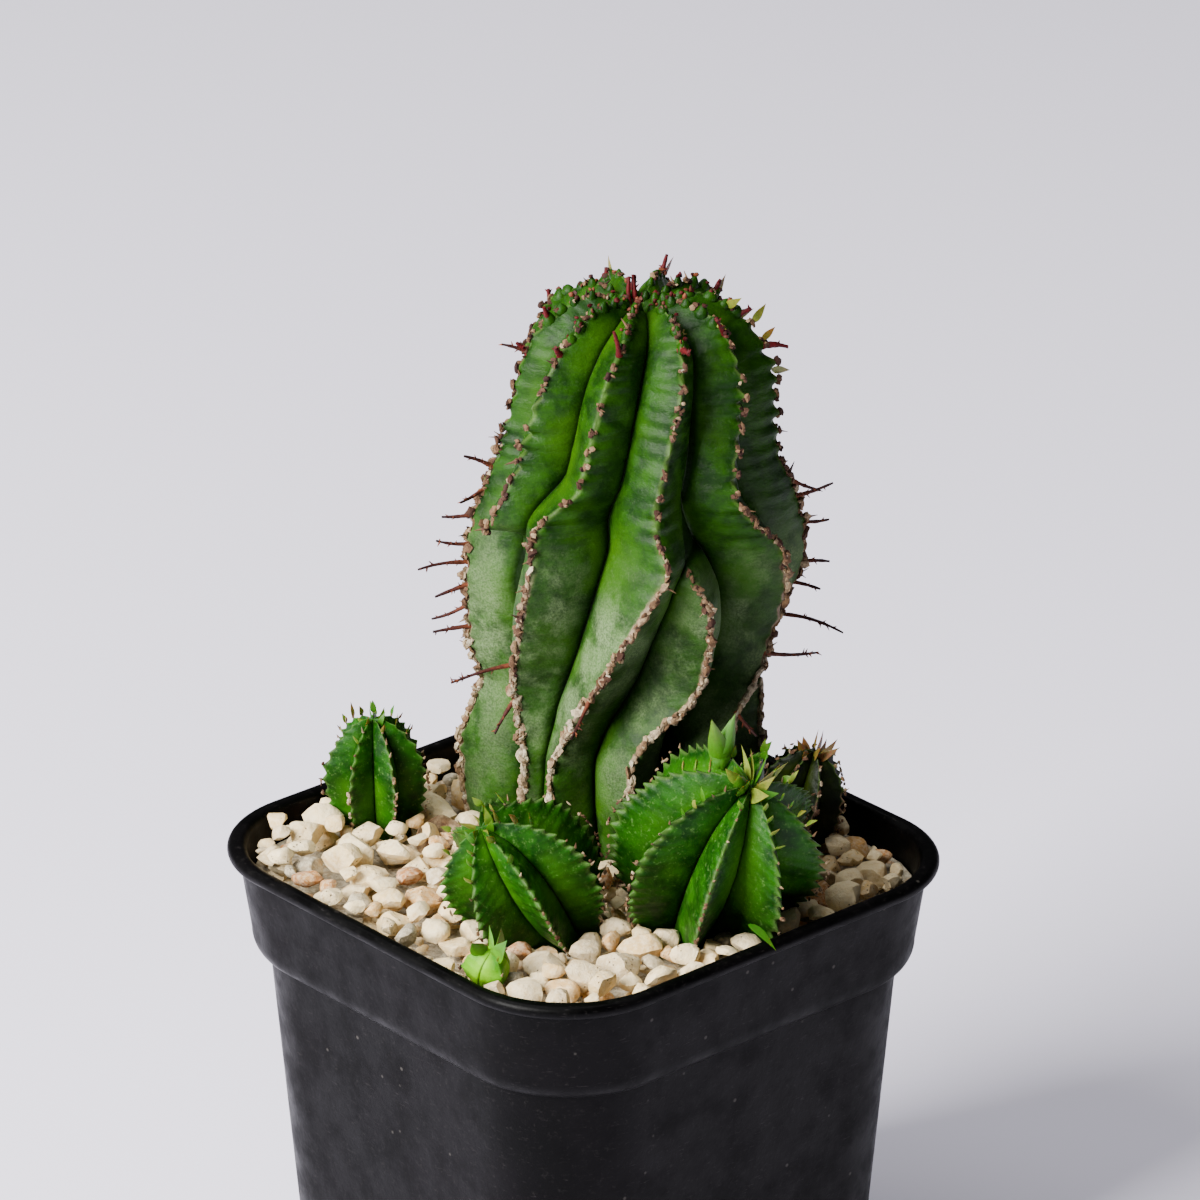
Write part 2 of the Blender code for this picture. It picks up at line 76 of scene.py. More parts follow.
# ---------------------------------------------------------------------------- the light
# One big soft window stands to the left, a paler ceiling bounce hangs above, and the walls of
# a light room fill the shadows. A sheet of pale paper lies under the pot.
ROOM_COLOUR = (0.80, 0.79, 0.84, 1.0)
ROOM_STRENGTH = 0.10
PAPER_COLOUR = (0.84, 0.81, 0.95, 1.0)
PAPER_SIZE = 3.0


def area_light(name, place, size, power, colour):
    lamp = bpy.data.lights.new(name, "AREA")
    lamp.shape = "RECTANGLE"
    lamp.size, lamp.size_y = size
    lamp.energy = power
    lamp.color = colour
    light = bpy.data.objects.new(name, lamp)
    way = RIM_CENTRE + Vector((0, 0, 0.03)) - Vector(place)
    light.matrix_world = Matrix.Translation(place) @ way.to_track_quat("-Z", "Y").to_matrix().to_4x4()
    bpy.context.scene.collection.objects.link(light)


area_light("window", (-1.15, 0.10, 0.85), (0.8, 0.8), 84.0, (1.0, 0.985, 0.96))
area_light("ceiling", (-0.1, 0.4, 1.3), (0.9, 0.9), 12.0, (1.0, 1.0, 1.0))
world = bpy.data.worlds.new("room")
world.use_nodes = True
world.node_tree.nodes["Background"].inputs["Color"].default_value = ROOM_COLOUR
world.node_tree.nodes["Background"].inputs["Strength"].default_value = ROOM_STRENGTH
bpy.context.scene.world = world

bm = bmesh.new()
bmesh.ops.create_grid(bm, x_segments=1, y_segments=1, size=PAPER_SIZE)
mesh = bpy.data.meshes.new("floor")
bm.to_mesh(mesh)
bm.free()
floor = bpy.data.objects.new("floor", mesh)
bpy.context.scene.collection.objects.link(floor)
paper = bpy.data.materials.new("pale_paper")
paper.use_nodes = True
paper.node_tree.nodes["Principled BSDF"].inputs["Base Color"].default_value = PAPER_COLOUR
paper.node_tree.nodes["Principled BSDF"].inputs["Roughness"].default_value = 0.9
mesh.materials.append(paper)

# ------------------------------------------------------------------------------ the pot
# A square nursery pot, drawn from one thin sheet of black polypropylene: a rolled lip, a
# plain collar, a rounded shoulder and a body that tapers to a raised base with drain holes.
# Handling has left it dusty and finely scuffed.
RIM_WIDTH = min(pot_high[0] - pot_low[0], pot_high[1] - pot_low[1])
RIM_CORNER = 0.019
POT_HEIGHT = pot_high[2]
WALL = 0.0012
LIP_OVERHANG = 0.0014
LIP_ROUND = 0.0011
COLLAR_HEIGHT = 0.0143
COLLAR_DRAFT = 0.00125
COLLAR_CORNER = 0.0187
SHOULDER_STEP = 0.0022
SHOULDER_HEIGHT = 0.0037
BODY_CORNER = 0.018
BASE_WIDTH = 0.0705
BASE_CORNER = 0.015
FOOT_WIDTH = 0.005
FOOT_ROUND = 0.0012
FOOT_RAISE = 0.0012
DRAIN_RADIUS = 0.003
DRAIN_SPREAD = 0.017
CORNER_STEPS = 20
ARC_STEPS = 8

collar_top = POT_HEIGHT - 2 * LIP_ROUND
collar_foot = POT_HEIGHT - COLLAR_HEIGHT
collar_width = RIM_WIDTH - 2 * LIP_OVERHANG
collar_foot_width = collar_width - 2 * COLLAR_DRAFT
floor_top = FOOT_RAISE + WALL


def feed(tree, socket, value):
    """Gives a node's input a value of its own, or links it to another node's output."""
    if isinstance(value, bpy.types.NodeSocket):
        tree.links.new(value, socket)
    else:
        socket.default_value = value


def node(tree, kind, settings=None, **inputs):
    made = tree.nodes.new("ShaderNode" + kind)
    for name, value in (settings or {}).items():
        setattr(made, name, value)
    for name, value in inputs.items():
        feed(tree, made.inputs[name.replace("_", " ")], value)
    return made


def tint(red, green, blue):
    """A colour mixed from 0-255 paint values."""
    return (*((value / 255) ** 2.2 for value in (red, green, blue)), 1.0)


def grain(tree, size, detail=3.0, roughness=0.55, stretch=(1.0, 1.0, 1.0)):
    """Cloudy noise whose clouds are about so big, in metres."""
    place = node(tree, "Mapping", Vector=node(tree, "TexCoord").outputs["Object"], Scale=stretch)
    cloud = node(tree, "TexNoise", Vector=place.outputs["Vector"], Scale=1.0 / size,
                 Detail=detail, Roughness=roughness)
    return cloud.outputs["Fac"]


def spots(tree, size):
    """How far each point lies from the middle of the nearest speck, in specks."""
    place = node(tree, "TexCoord").outputs["Object"]
    return node(tree, "TexVoronoi", Vector=place, Scale=1.0 / size).outputs["Distance"]


def fade(tree, value, low, high, least=0.0, most=1.0):
    """Turns a value into a share that climbs from least to most between low and high."""
    made = node(tree, "MapRange", {"interpolation_type": "SMOOTHSTEP"}, Value=value)
    made.inputs["From Min"].default_value = low
    made.inputs["From Max"].default_value = high
    made.inputs["To Min"].default_value = least
    made.inputs["To Max"].default_value = most
    return made.outputs["Result"]


def sums(tree, operation, first, second):
    made = node(tree, "Math", {"operation": operation})
    feed(tree, made.inputs[0], first)
    feed(tree, made.inputs[1], second)
    return made.outputs["Value"]


def product(tree, first, second):
    return sums(tree, "MULTIPLY", first, second)


def paint(tree, under, over, share):
    """Lays one colour over another where the share says."""
    made = node(tree, "Mix", {"data_type": "RGBA"})
    feed(tree, made.inputs[0], share)
    feed(tree, made.inputs[6], under)
    feed(tree, made.inputs[7], over)
    return made.outputs[2]


def relief(tree, height, depth, below=None):
    """Bumps so deep, in metres, on top of those below."""
    made = node(tree, "Bump", Height=height, Distance=depth, Strength=1.0)
    if below is not None:
        feed(tree, made.inputs["Normal"], below)
    return made.outputs["Normal"]


def stored(tree, name):
    """A value that the mesh itself carries."""
    return node(tree, "Attribute", {"attribute_name": name}).outputs["Fac"]


def finish(name):
    """A new material, with its node tree and its shader."""
    material = bpy.data.materials.new(name)
    material.use_nodes = True
    return material, material.node_tree, material.node_tree.nodes["Principled BSDF"]


def place_piece(name, source, material, replaced=(), sharp=None):
    """Makes a bmesh or a mesh a piece that rides with the pot."""
    mesh = source
    if isinstance(source, bmesh.types.BMesh):
        bmesh.ops.recalc_face_normals(source, faces=source.faces)
        mesh = bpy.data.meshes.new(name)
        source.to_mesh(mesh)
        source.free()
    mesh.materials.append(material)
    mesh.shade_smooth()
    if sharp is not None:
        mesh.set_sharp_from_angle(angle=math.radians(sharp))
    piece = bpy.data.objects.new(name, mesh)
    bpy.context.scene.collection.objects.link(piece)
    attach(piece, "root")
    if replaced:
        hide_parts(*replaced)
    return piece


def dusty_plastic():
    material, tree, shader = finish("dusty_black_plastic")
    haze = fade(tree, grain(tree, 0.020, 5.0, 0.62), 0.40, 0.68)
    dust = fade(tree, grain(tree, 0.0009, 4.0, 0.7), 0.56, 0.74)
    specks = fade(tree, spots(tree, 0.0060), 0.07, 0.03)
    scuffs = fade(tree, grain(tree, 0.0022, 5.0, 0.7, (1.0, 1.0, 7.0)), 0.60, 0.72)
    black = paint(tree, tint(5, 5, 5), tint(12, 11, 12), haze)
    dusty = paint(tree, black, tint(44, 42, 41), product(tree, dust, 0.30))
    speckled = paint(tree, dusty, tint(110, 106, 100), product(tree, specks, 0.22))
    feed(tree, shader.inputs["Base Color"],
         paint(tree, speckled, tint(66, 62, 62), product(tree, scuffs, 0.25)))
    shader.inputs["Specular IOR Level"].default_value = 0.06
    worn = grain(tree, 0.006, 4.0, 0.6)
    feed(tree, shader.inputs["Roughness"], fade(tree, worn, 0.3, 0.7, 0.32, 0.56))
    grainy = relief(tree, grain(tree, 0.0011, 3.0, 0.6), 0.00004)
    feed(tree, shader.inputs["Normal"], relief(tree, grain(tree, 0.012, 2.0, 0.5), 0.00025, grainy))
    return material


def arc(steps):
    return [step / steps * math.pi / 2 for step in range(steps + 1)]


def shoulder_sections(wall):
    """The rounded step from the collar in to the body, from the top down."""
    sections = []
    for turn in arc(ARC_STEPS):
        share = turn / (math.pi / 2)
        sections.append((collar_foot_width - 2 * SHOULDER_STEP * (1 - math.cos(turn)) - 2 * wall,
                         COLLAR_CORNER + (BODY_CORNER - COLLAR_CORNER) * share - wall,
                         collar_foot - (SHOULDER_HEIGHT - wall) * math.sin(turn)))
    return sections


def pot_sections():
    """Width, corner radius and height of each section, from under the base out and up over the
    lip and back down to the floor inside."""
    sections = [(BASE_WIDTH - 2 * FOOT_WIDTH, BASE_CORNER - FOOT_WIDTH, 0.0)]
    for turn in arc(ARC_STEPS):
        inset = FOOT_ROUND * (1 - math.sin(turn))
        sections.append((BASE_WIDTH - 2 * inset, BASE_CORNER - inset, FOOT_ROUND * (1 - math.cos(turn))))
    sections += reversed(shoulder_sections(0.0))
    sections.append((collar_width, COLLAR_CORNER, collar_top))
    for turn in arc(2 * ARC_STEPS):
        inset = LIP_ROUND * (1 - math.sin(2 * turn))
        sections.append((RIM_WIDTH - 2 * inset, RIM_CORNER - inset,
                         POT_HEIGHT - LIP_ROUND - LIP_ROUND * math.cos(2 * turn)))
    inner = (collar_width - 2 * WALL, COLLAR_CORNER - WALL)
    for turn in arc(ARC_STEPS):
        swell = 2 * LIP_ROUND * (1 - math.sin(turn))
        sections.append((inner[0] + swell, inner[1] + swell / 2,
                         POT_HEIGHT - LIP_ROUND * (1 - math.cos(turn))))
    sections += shoulder_sections(WALL)
    sections.append((BASE_WIDTH - 2 * WALL, BASE_CORNER - WALL, floor_top))
    return sections


def fit_to_section(verts, now, then):
    """Moves vertices from one rounded square to the next one."""
    for vertex in verts:
        place = Vector((0.0, 0.0, then[2]))
        for side in range(2):
            middle = now[0] / 2 - now[1]
            nearest = max(-middle, min(middle, vertex.co[side]))
            arm = (vertex.co[side] - nearest) / now[1]
            place[side] = math.copysign(then[0] / 2 - then[1], nearest) + arm * then[1]
        vertex.co = place


bm = bmesh.new()
section = (BASE_WIDTH - 2 * FOOT_WIDTH, BASE_CORNER - FOOT_WIDTH, FOOT_RAISE)
bmesh.ops.create_grid(bm, x_segments=1, y_segments=1, size=section[0] / 2,
                      matrix=Matrix.Translation((0, 0, FOOT_RAISE)))
bmesh.ops.bevel(bm, geom=bm.verts[:], offset=section[1], offset_type="OFFSET", segments=CORNER_STEPS,
                profile=0.5, affect="VERTICES", material=-1)
edges = [edge for edge in bm.edges if edge.is_boundary]
for following in pot_sections():
    grown = bmesh.ops.extrude_edge_only(bm, edges=edges)["geom"]
    fit_to_section([item for item in grown if isinstance(item, bmesh.types.BMVert)], section, following)
    edges = [item for item in grown if isinstance(item, bmesh.types.BMEdge) and item.is_boundary]
    section = following
bmesh.ops.edgeloop_fill(bm, edges=edges)
pot = place_piece("nursery_pot", bm, dusty_plastic(), ["pot"], sharp=35)

bm = bmesh.new()
places = [(0.0, 0.0)] + [(x * DRAIN_SPREAD, y * DRAIN_SPREAD) for x in (-1, 1) for y in (-1, 1)]
for x, y in places:
    bmesh.ops.create_cone(bm, cap_ends=True, segments=32, radius1=DRAIN_RADIUS, radius2=DRAIN_RADIUS,
                          depth=4 * floor_top, matrix=Matrix.Translation((x, y, floor_top)))
mesh = bpy.data.meshes.new("drains")
bm.to_mesh(mesh)
bm.free()
drains = bpy.data.objects.new("drains", mesh)
bpy.context.scene.collection.objects.link(drains)
drilling = pot.modifiers.new("drains", "BOOLEAN")
drilling.operation = "DIFFERENCE"
drilling.object = drains
drilled = bpy.data.meshes.new_from_object(pot.evaluated_get(bpy.context.evaluated_depsgraph_get()))
pot.modifiers.clear()
pot.data = drilled
bpy.data.objects.remove(drains, do_unlink=True)

# ----------------------------------------------------------------------------- the soil
# Peaty potting soil with a little perlite in it fills the pot up to the gravel. It is pressed
# in round the roots, and it only shows through the drain holes.
def earth():
    material, tree, shader = finish("moist_earth")
    crumbs = grain(tree, 0.0022, 6.0, 0.7)
    brown = paint(tree, tint(38, 28, 20), tint(82, 62, 44), fade(tree, crumbs, 0.38, 0.62))
    perlite = fade(tree, spots(tree, 0.0050), 0.16, 0.10)
    feed(tree, shader.inputs["Base Color"], paint(tree, brown, tint(206, 200, 188), perlite))
    shader.inputs["Roughness"].default_value = 0.95
    feed(tree, shader.inputs["Normal"], relief(tree, crumbs, 0.0012))
    return material


def refinish(name, material):
    """Gives a part that keeps its shape a better finish."""
    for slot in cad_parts[name].material_slots:
        slot.material = material


refinish("potting_soil", earth())

# ------------------------------------------------------------------------ the tall stem
# The old stem is one fleshy, ribbed column, widest at mid height. Each rib's edge steps in and
# out with the years' growth and carries a tubercle every few millimetres. The skin is a
# deep waxy green at the crown, powdered with grey-green bloom lower down and corky near the foot.
GROUND = pot_high[2] - 0.0040           # where the loose stones reach to
STEM_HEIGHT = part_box("main_stem")[1][2] - GROUND
STEM_REACH = 0.0268
STEM_PLACE = (0.0160, 0.0112)
STEM_LEAN = (0.0033, -0.0030)
STEM_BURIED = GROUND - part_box("main_stem")[0][2]
STEM_FLANK = 0.0155             # share of the reach that a rib's flank falls in each degree
STEM_FULL = 0.12                # how full its flanks are, from 0, flat, to 1, round
FIRST_RIB = 228.0               # rib angles are counted in degrees from the pot's -X -Y corner
TUBERCLE = 0.0028               # from one tubercle to the next along a rib's edge
STEM_ROWS = 320
STEM_COLUMNS = 24               # points across each rib
STEM_SMOOTH = 4.0               # rows over which its outline is rounded off

# Each rib in turn: height above the stones as a share of the stem's height, angle in degrees,
# and the rib's reach as a share of the stem's own.
STEM_RIBS = (
    ((0.0, -88, 1.03), (0.16, -88, 1.04), (0.28, -86, 0.97), (0.34, -84, 1.0), (0.50, -78, 0.96),
     (0.63, -82, 0.95), (0.80, -80, 0.92), (1.0, -84, 0.95)),
    ((0.0, -66, 0.7), (0.595, -62, 0.7), (0.612, -60, 1.0), (0.64, -56, 1.06), (0.74, -52, 1.0),
     (0.86, -50, 0.98), (1.0, -45, 0.98)),
    ((0.0, -44, 0.98), (0.18, -38, 0.98), (0.25, -42, 1.0), (0.34, -45, 1.0), (0.41, -41, 1.0),
     (0.50, -37, 1.0), (0.58, -34, 1.0), (0.65, -36, 1.04), (0.68, -31, 1.04), (0.72, -21, 1.0),
     (0.83, -18, 1.0), (0.91, -15, 1.0), (1.0, -8, 1.0)),
    ((0.0, -18, 0.96), (0.12, -26, 0.96), (0.20, -27, 0.98), (0.30, -18, 1.0), (0.36, -10, 1.0),
     (0.43, -3, 1.0), (0.50, 4, 1.0), (0.56, 10, 1.02), (0.60, 14, 1.03), (0.65, 10, 1.02),
     (0.70, 9, 1.0), (0.77, 13, 1.0), (0.87, 19, 1.0), (1.0, 28, 1.0)),
    ((0.0, 8, 0.98), (0.20, 5, 1.0), (0.26, 10, 1.0), (0.31, 24, 1.0), (0.36, 31, 1.0),
     (0.46, 31, 1.0), (0.53, 28, 1.0), (0.58, 22, 0.98), (0.63, 24, 0.72), (1.0, 45, 0.7)),
    ((0.0, 36, 0.98), (0.18, 43, 1.0), (0.27, 54, 1.0), (0.34, 70, 1.0), (0.42, 72, 1.0),
     (0.52, 68, 1.0), (0.59, 62, 1.02), (0.65, 50, 1.0), (0.69, 43, 1.0), (0.75, 45, 1.0),
     (0.83, 52, 1.0), (1.0, 62, 1.0)),
    ((0.0, 70, 0.98), (0.22, 84, 0.98), (0.34, 98, 1.0), (0.45, 99, 1.05), (0.55, 97, 1.05),
     (0.64, 91, 1.03), (0.70, 86, 0.98), (0.82, 87, 1.04), (1.0, 96, 1.04)),
    ((0.0, 104, 0.96), (0.25, 118, 0.98), (0.50, 133, 1.0), (0.70, 124, 1.0), (1.0, 130, 1.0)),
    ((0.0, 140, 0.96), (0.25, 154, 0.98), (0.50, 167, 1.0), (0.70, 161, 1.0), (1.0, 166, 1.0)),
    ((0.0, 182, 0.96), (0.25, 192, 0.98), (0.50, 203, 1.0), (0.70, 198, 1.0), (1.0, 202, 1.0)),
    ((0.0, 226, 0.98), (0.25, 230, 1.0), (0.50, 241, 1.0), (0.70, 236, 1.0), (1.0, 238, 1.0)),
)

# A rib's edge from the stones to the crown: height and reach as shares of the stem's own, and
# how far below the edge the groove beside it lies, as a share of the height.
STEM_EDGE = (
    (0.0, 0.80, 0.0), (0.05, 0.855, 0.0), (0.16, 0.875, 0.0), (0.27, 0.835, 0.0),
    (0.38, 0.915, 0.0), (0.50, 1.0, 0.0), (0.58, 0.985, 0.0), (0.69, 0.865, 0.0),
    (0.80, 0.795, 0.0), (0.885, 0.725, 0.005), (0.945, 0.61, 0.012), (0.983, 0.45, 0.022),
    (1.0, 0.30, 0.022), (0.99, 0.17, 0.012), (0.970, 0.06, 0.0), (0.966, 0.0, 0.0),
)
BURIED_ROWS = 6
BURIED_EDGE = 0.62              # reach at the very foot, as a share
CREASE = 0.030                  # how far the crease between two ribs is pinched in
CREASE_WIDE = 0.07              # and how wide the pinch is, as a share of the rib's flank
BLUNT = 0.8                     # degrees over which a rib's edge is rounded
HALF_RIB = 16.0                 # degrees from a usual rib's edge to its crease
CORE = 0.45                     # no groove goes deeper than this share of the reach
SUNKEN = 0.10                   # a rib that stands out less than this from its neighbours fades away
CALM_POLE = 0.004               # so near the middle of the crown the skin has no bumps
WANDER = 0.35                   # how unevenly the tubercles follow each other
WANDER_LENGTH = 0.012


def soften(values, width):
    """Rounds off a row of values with a bell-shaped average so many steps wide."""
    reach = max(int(3 * width), 1)
    bell = np.exp(-0.5 * (np.arange(-reach, reach + 1) / width) ** 2)
    longer = np.pad(values, reach, mode="reflect", reflect_type="odd")
    return np.convolve(longer, bell / bell.sum(), mode="valid")


def waves(points, size, seed):
    """Smooth bumps about so big all through space, from about -1 to 1."""
    dice = np.random.RandomState(seed)
    total = np.zeros(points.shape[:-1])
    for _ in range(9):
        way = dice.normal(size=3)
        way /= np.linalg.norm(way)
        pitch = size * dice.uniform(0.7, 1.5)
        total += np.sin(points @ way * (2 * np.pi / pitch) + dice.uniform(0, 2 * np.pi))
    return total / 4.0


def edge_levels(edge, rows, height, foot, smooth):
    """Height share, reach share and groove drop at every level, from the foot to the crown."""
    points = np.array(edge)
    steps = np.hypot(np.diff(points[:, 0]) * 2.5, np.diff(points[:, 1]))
    along = np.concatenate(([0.0], np.cumsum(steps)))
    at = np.linspace(0.0, along[-1], rows)
    above = [soften(np.interp(at, along, points[:, k]), smooth) for k in range(3)]
    above[1] = np.maximum(above[1], 0.0)
    above[1][-1] = 0.0
    deep = np.linspace(1.0, 0.0, BURIED_ROWS, endpoint=False)
    below = (-deep * foot / height, above[1][0] * (1 - (1 - BURIED_EDGE) * deep), 0 * deep)
    pole = (-foot / height, 0.0, 0.0)
    return [np.concatenate(([pole[k]], below[k], above[k])) for k in range(3)]


def rib_drop(degrees, flank, full):
    """How far a rib's flank has fallen so many degrees from its edge, as a share of the reach."""
    blunt = np.sqrt(np.minimum(degrees, 2 * HALF_RIB) ** 2 + BLUNT ** 2) - BLUNT
    return flank * ((1 - full) * blunt + full * blunt ** 2 / HALF_RIB)


def grow_ribs(ribs, edge, rows, columns, height, reach, foot, flank, full, smooth, tubercle,
              swell, seed):
    """A ribbed body on its own origin, as rows of points, and what its skin needs to know at
    each point: how near a rib's edge it is, its height share, and its place in the tubercles."""
    dice = np.random.RandomState(seed)
    share, edge_reach, drop = edge_levels(edge, rows, height, foot, smooth)
    count = len(ribs)
    rib_smooth = smooth * 0.7
    angles = np.empty((len(share), count))
    reaches = np.empty((len(share), count))
    for index, rib in enumerate(ribs):
        heights = [point[0] for point in rib]
        angles[:, index] = soften(np.interp(share, heights, [point[1] for point in rib]), rib_smooth)
        reaches[:, index] = soften(np.interp(share, heights, [point[2] for point in rib]), rib_smooth)
    after = np.roll(angles, -1, axis=1)
    after[:, -1] += 360.0
    gap = after - angles
    slope = 2 * flank * gap * (1 - full + full * gap / HALF_RIB)
    crease = np.clip(0.5 + (reaches - np.roll(reaches, -1, axis=1)) / slope, 0.04, 0.96)

    half = columns // 2
    spread = (1 - np.cos(np.pi * np.arange(half) / half)) / 2
    turns = np.empty((len(share), count * columns))
    nearness = np.empty_like(turns)
    for index in range(count):
        first = index * columns
        wide = (gap * crease)[:, index, None]
        turns[:, first:first + half] = angles[:, index, None] + wide * spread
        turns[:, first + half:first + columns] = (
            angles[:, index, None] + wide + (gap[:, index, None] - wide) * spread)
        nearness[:, first:first + half] = 1 - spread
        nearness[:, first + half:first + columns] = spread
    surface = np.full_like(turns, CORE)
    beside = np.zeros_like(reaches)
    for index in range(count):
        for lap in (-360.0, 0.0, 360.0):
            away = np.abs(turns - angles[:, index, None] - lap)
            surface = np.maximum(surface, reaches[:, index, None] - rib_drop(away, flank, full))
            away = np.abs(angles - angles[:, index, None] - lap)
            other = reaches[:, index, None] - rib_drop(away, flank, full)
            other[:, index] = 0.0
            beside = np.maximum(beside, other)
    standing = np.clip((reaches - beside) / SUNKEN, 0.0, 1.0)
    for index in range(count):
        first = index * columns
        nearness[:, first:first + half] *= standing[:, index, None]
        nearness[:, first + half:first + columns] *= np.roll(standing, -1, axis=1)[:, index, None]
    surface -= CREASE * np.exp(-(nearness / CREASE_WIDE) ** 2)

    rise = np.hypot(np.diff(share * height), np.diff(edge_reach * reach))
    along = np.concatenate(([0.0], np.cumsum(rise)))
    beats = np.empty_like(turns)
    for index in range(count):
        wander = waves(np.stack([along, along * 0, along * 0], axis=1), WANDER_LENGTH, seed + index)
        beat = along / tubercle + WANDER * wander + dice.uniform(0, 1)
        around = np.arange(index * columns - half, index * columns + half) % (count * columns)
        beats[:, around] = beat[:, None]
    out = edge_reach[:, None] * surface * reach
    rise = share[:, None] * height - drop[:, None] * (1 - nearness) * height
    turn = np.radians(FIRST_RIB + turns)
    points = np.stack([out * np.cos(turn), out * np.sin(turn), rise], axis=2)
    outwards = points * (1.0, 1.0, 0.0)
    outwards /= np.maximum(np.linalg.norm(outwards, axis=2, keepdims=True), 1e-6)
    near_pole = np.clip(out / CALM_POLE, 0.0, 1.0)
    bulge = swell(nearness, beats, points, share[:, None]) * near_pole
    points += outwards * bulge[:, :, None]
    return {"points": points, "near": nearness, "share": share[:, None] + 0 * out, "beat": beats,
            "columns": columns, "ribs": count}


def skin_mesh(name, body):
    """Wraps a closed skin round a ribbed body's rows of points."""
    points = body["points"]
    levels, columns = points.shape[:2]
    bm = bmesh.new()
    bmesh.ops.create_uvsphere(bm, u_segments=columns, v_segments=levels - 1, radius=1.0)
    mesh = bpy.data.meshes.new(name)
    bm.to_mesh(mesh)
    bm.free()
    ball = np.empty(len(mesh.vertices) * 3, dtype=np.float32)
    mesh.vertices.foreach_get("co", ball)
    ball = ball.reshape(-1, 3).astype(float)
    level = np.rint((1 - np.arccos(np.clip(ball[:, 2], -1, 1)) / np.pi) * (levels - 1)).astype(int)
    column = np.rint(np.arctan2(ball[:, 1], ball[:, 0]) / (2 * np.pi) * columns).astype(int) % columns
    mesh.vertices.foreach_set("co", points[level, column].astype(np.float32).ravel())
    for value in ("near", "share", "beat"):
        store = mesh.attributes.new(value, "FLOAT", "POINT")
        store.data.foreach_set("value", body[value][level, column].astype(np.float32))
    mesh.update()
    return mesh


def green_skin(name, deep, face, glow, bloom, bloom_from, cork, cork_below, ripple, flecks=0.0):
    """Waxy skin: deep and paler green mottled together, a painted glow, as of thin light getting in,
    in patches on the ribs' flanks, painted shade of deep green in the creases between the ribs, a
    painted highlight along each rib's edge, a dry bloom below one height and corky edges below another."""
    material, tree, shader = finish(name)
    near, share = stored(tree, "near"), stored(tree, "share")
    patches = grain(tree, 0.011, 3.0, 0.5)
    mottle = fade(tree, grain(tree, 0.0034, 4.0, 0.6), 0.35, 0.66)
    skin = paint(tree, deep, face, mottle)
    # Painted glow: brighter green in patches on the flanks, as if thin light shone through the skin.
    lit = product(tree, fade(tree, patches, 0.42, 0.62), fade(tree, near, 0.9, 0.25))
    skin = paint(tree, skin, glow, product(tree, lit, 0.75))
    old = fade(tree, sums(tree, "ADD", share, product(tree, patches, 0.24)),
               bloom_from + 0.20, bloom_from - 0.02)
    powder = fade(tree, grain(tree, 0.00035, 3.0, 0.7), 0.36, 0.62, 0.45, 1.0)
    cloudy = fade(tree, grain(tree, 0.0080, 4.0, 0.62), 0.40, 0.60, 0.15, 1.0)
    cloudy = product(tree, cloudy, fade(tree, share, 0.08, 0.40, 0.35, 1.0))
    reach = fade(tree, near, 0.02, 0.45, 0.2, 1.0)
    dusting = product(tree, product(tree, powder, cloudy),
                   product(tree, reach, old))
    skin = paint(tree, skin, bloom, product(tree, dusting, 0.95))
    pale = product(tree, fade(tree, grain(tree, 0.0007, 4.0, 0.75), 0.55, 0.70), flecks)
    skin = paint(tree, skin, bloom, pale)
    # Painted shade: the skin is painted a near-black green along the crease between two ribs.
    crease_shade = fade(tree, near, 0.10, 0.0)
    skin = paint(tree, skin, tint(8, 24, 0), product(tree, crease_shade, 0.85))
    # Painted highlight: a paler green is laid along each rib's edge, standing in for the wax's shine.
    crest_highlight = product(tree, fade(tree, near, 0.88, 0.98), 0.22)
    skin = paint(tree, skin, tint(110, 136, 72), crest_highlight)
    aged = fade(tree, sums(tree, "ADD", share, product(tree, patches, 0.10)),
                cork_below + 0.07, cork_below + 0.02)
    band = sums(tree, "ADD", near, product(tree, grain(tree, 0.0016, 4.0, 0.65), 0.10))
    barky = product(tree, fade(tree, band, 0.965, 1.01), aged)
    shades = paint(tree, cork, tint(100, 82, 64), fade(tree, grain(tree, 0.0012, 4.0, 0.7), 0.45, 0.68))
    feed(tree, shader.inputs["Base Color"], paint(tree, skin, shades, barky))
    rough = fade(tree, sums(tree, "MAXIMUM", dusting, barky), 0.0, 0.6, 0.42, 0.78)
    feed(tree, shader.inputs["Roughness"], rough)
    shader.inputs["Specular IOR Level"].default_value = 0.11
    shader.inputs["Subsurface Weight"].default_value = 0.12
    shader.inputs["Subsurface Radius"].default_value = (0.4, 1.0, 0.2)
    shader.inputs["Subsurface Scale"].default_value = 0.0015
    pores = relief(tree, grain(tree, 0.00045, 4.0, 0.7), 0.00007)
    folds = relief(tree, grain(tree, 0.0032, 3.0, 0.55, ripple), 0.00025, pores)
    feed(tree, shader.inputs["Normal"], folds)
    return material


def stem_swell(near, beat, points, share):
    """The old stem's tubercles, the ripples that run in from them, and its uneven faces."""
    beats = np.cos(2 * np.pi * beat)
    fitful = 0.55 + 0.45 * waves(points, 0.007, 9)
    knobs = (0.00035 + 0.00050 * np.clip(share * 5 - 2.6, 0, 1)) * beats * fitful
    tubercles = (knobs + 0.00028 * waves(points, 0.0024, 10)) * near ** 6
    ripples = 0.00028 * beats * fitful * np.sin(np.pi * near) ** 2 * np.clip(share * 4 - 2.0, 0, 1)
    uneven = 0.00030 * waves(points, 0.013, 5) + 0.00013 * waves(points, 0.0045, 6)
    return tubercles + ripples + uneven


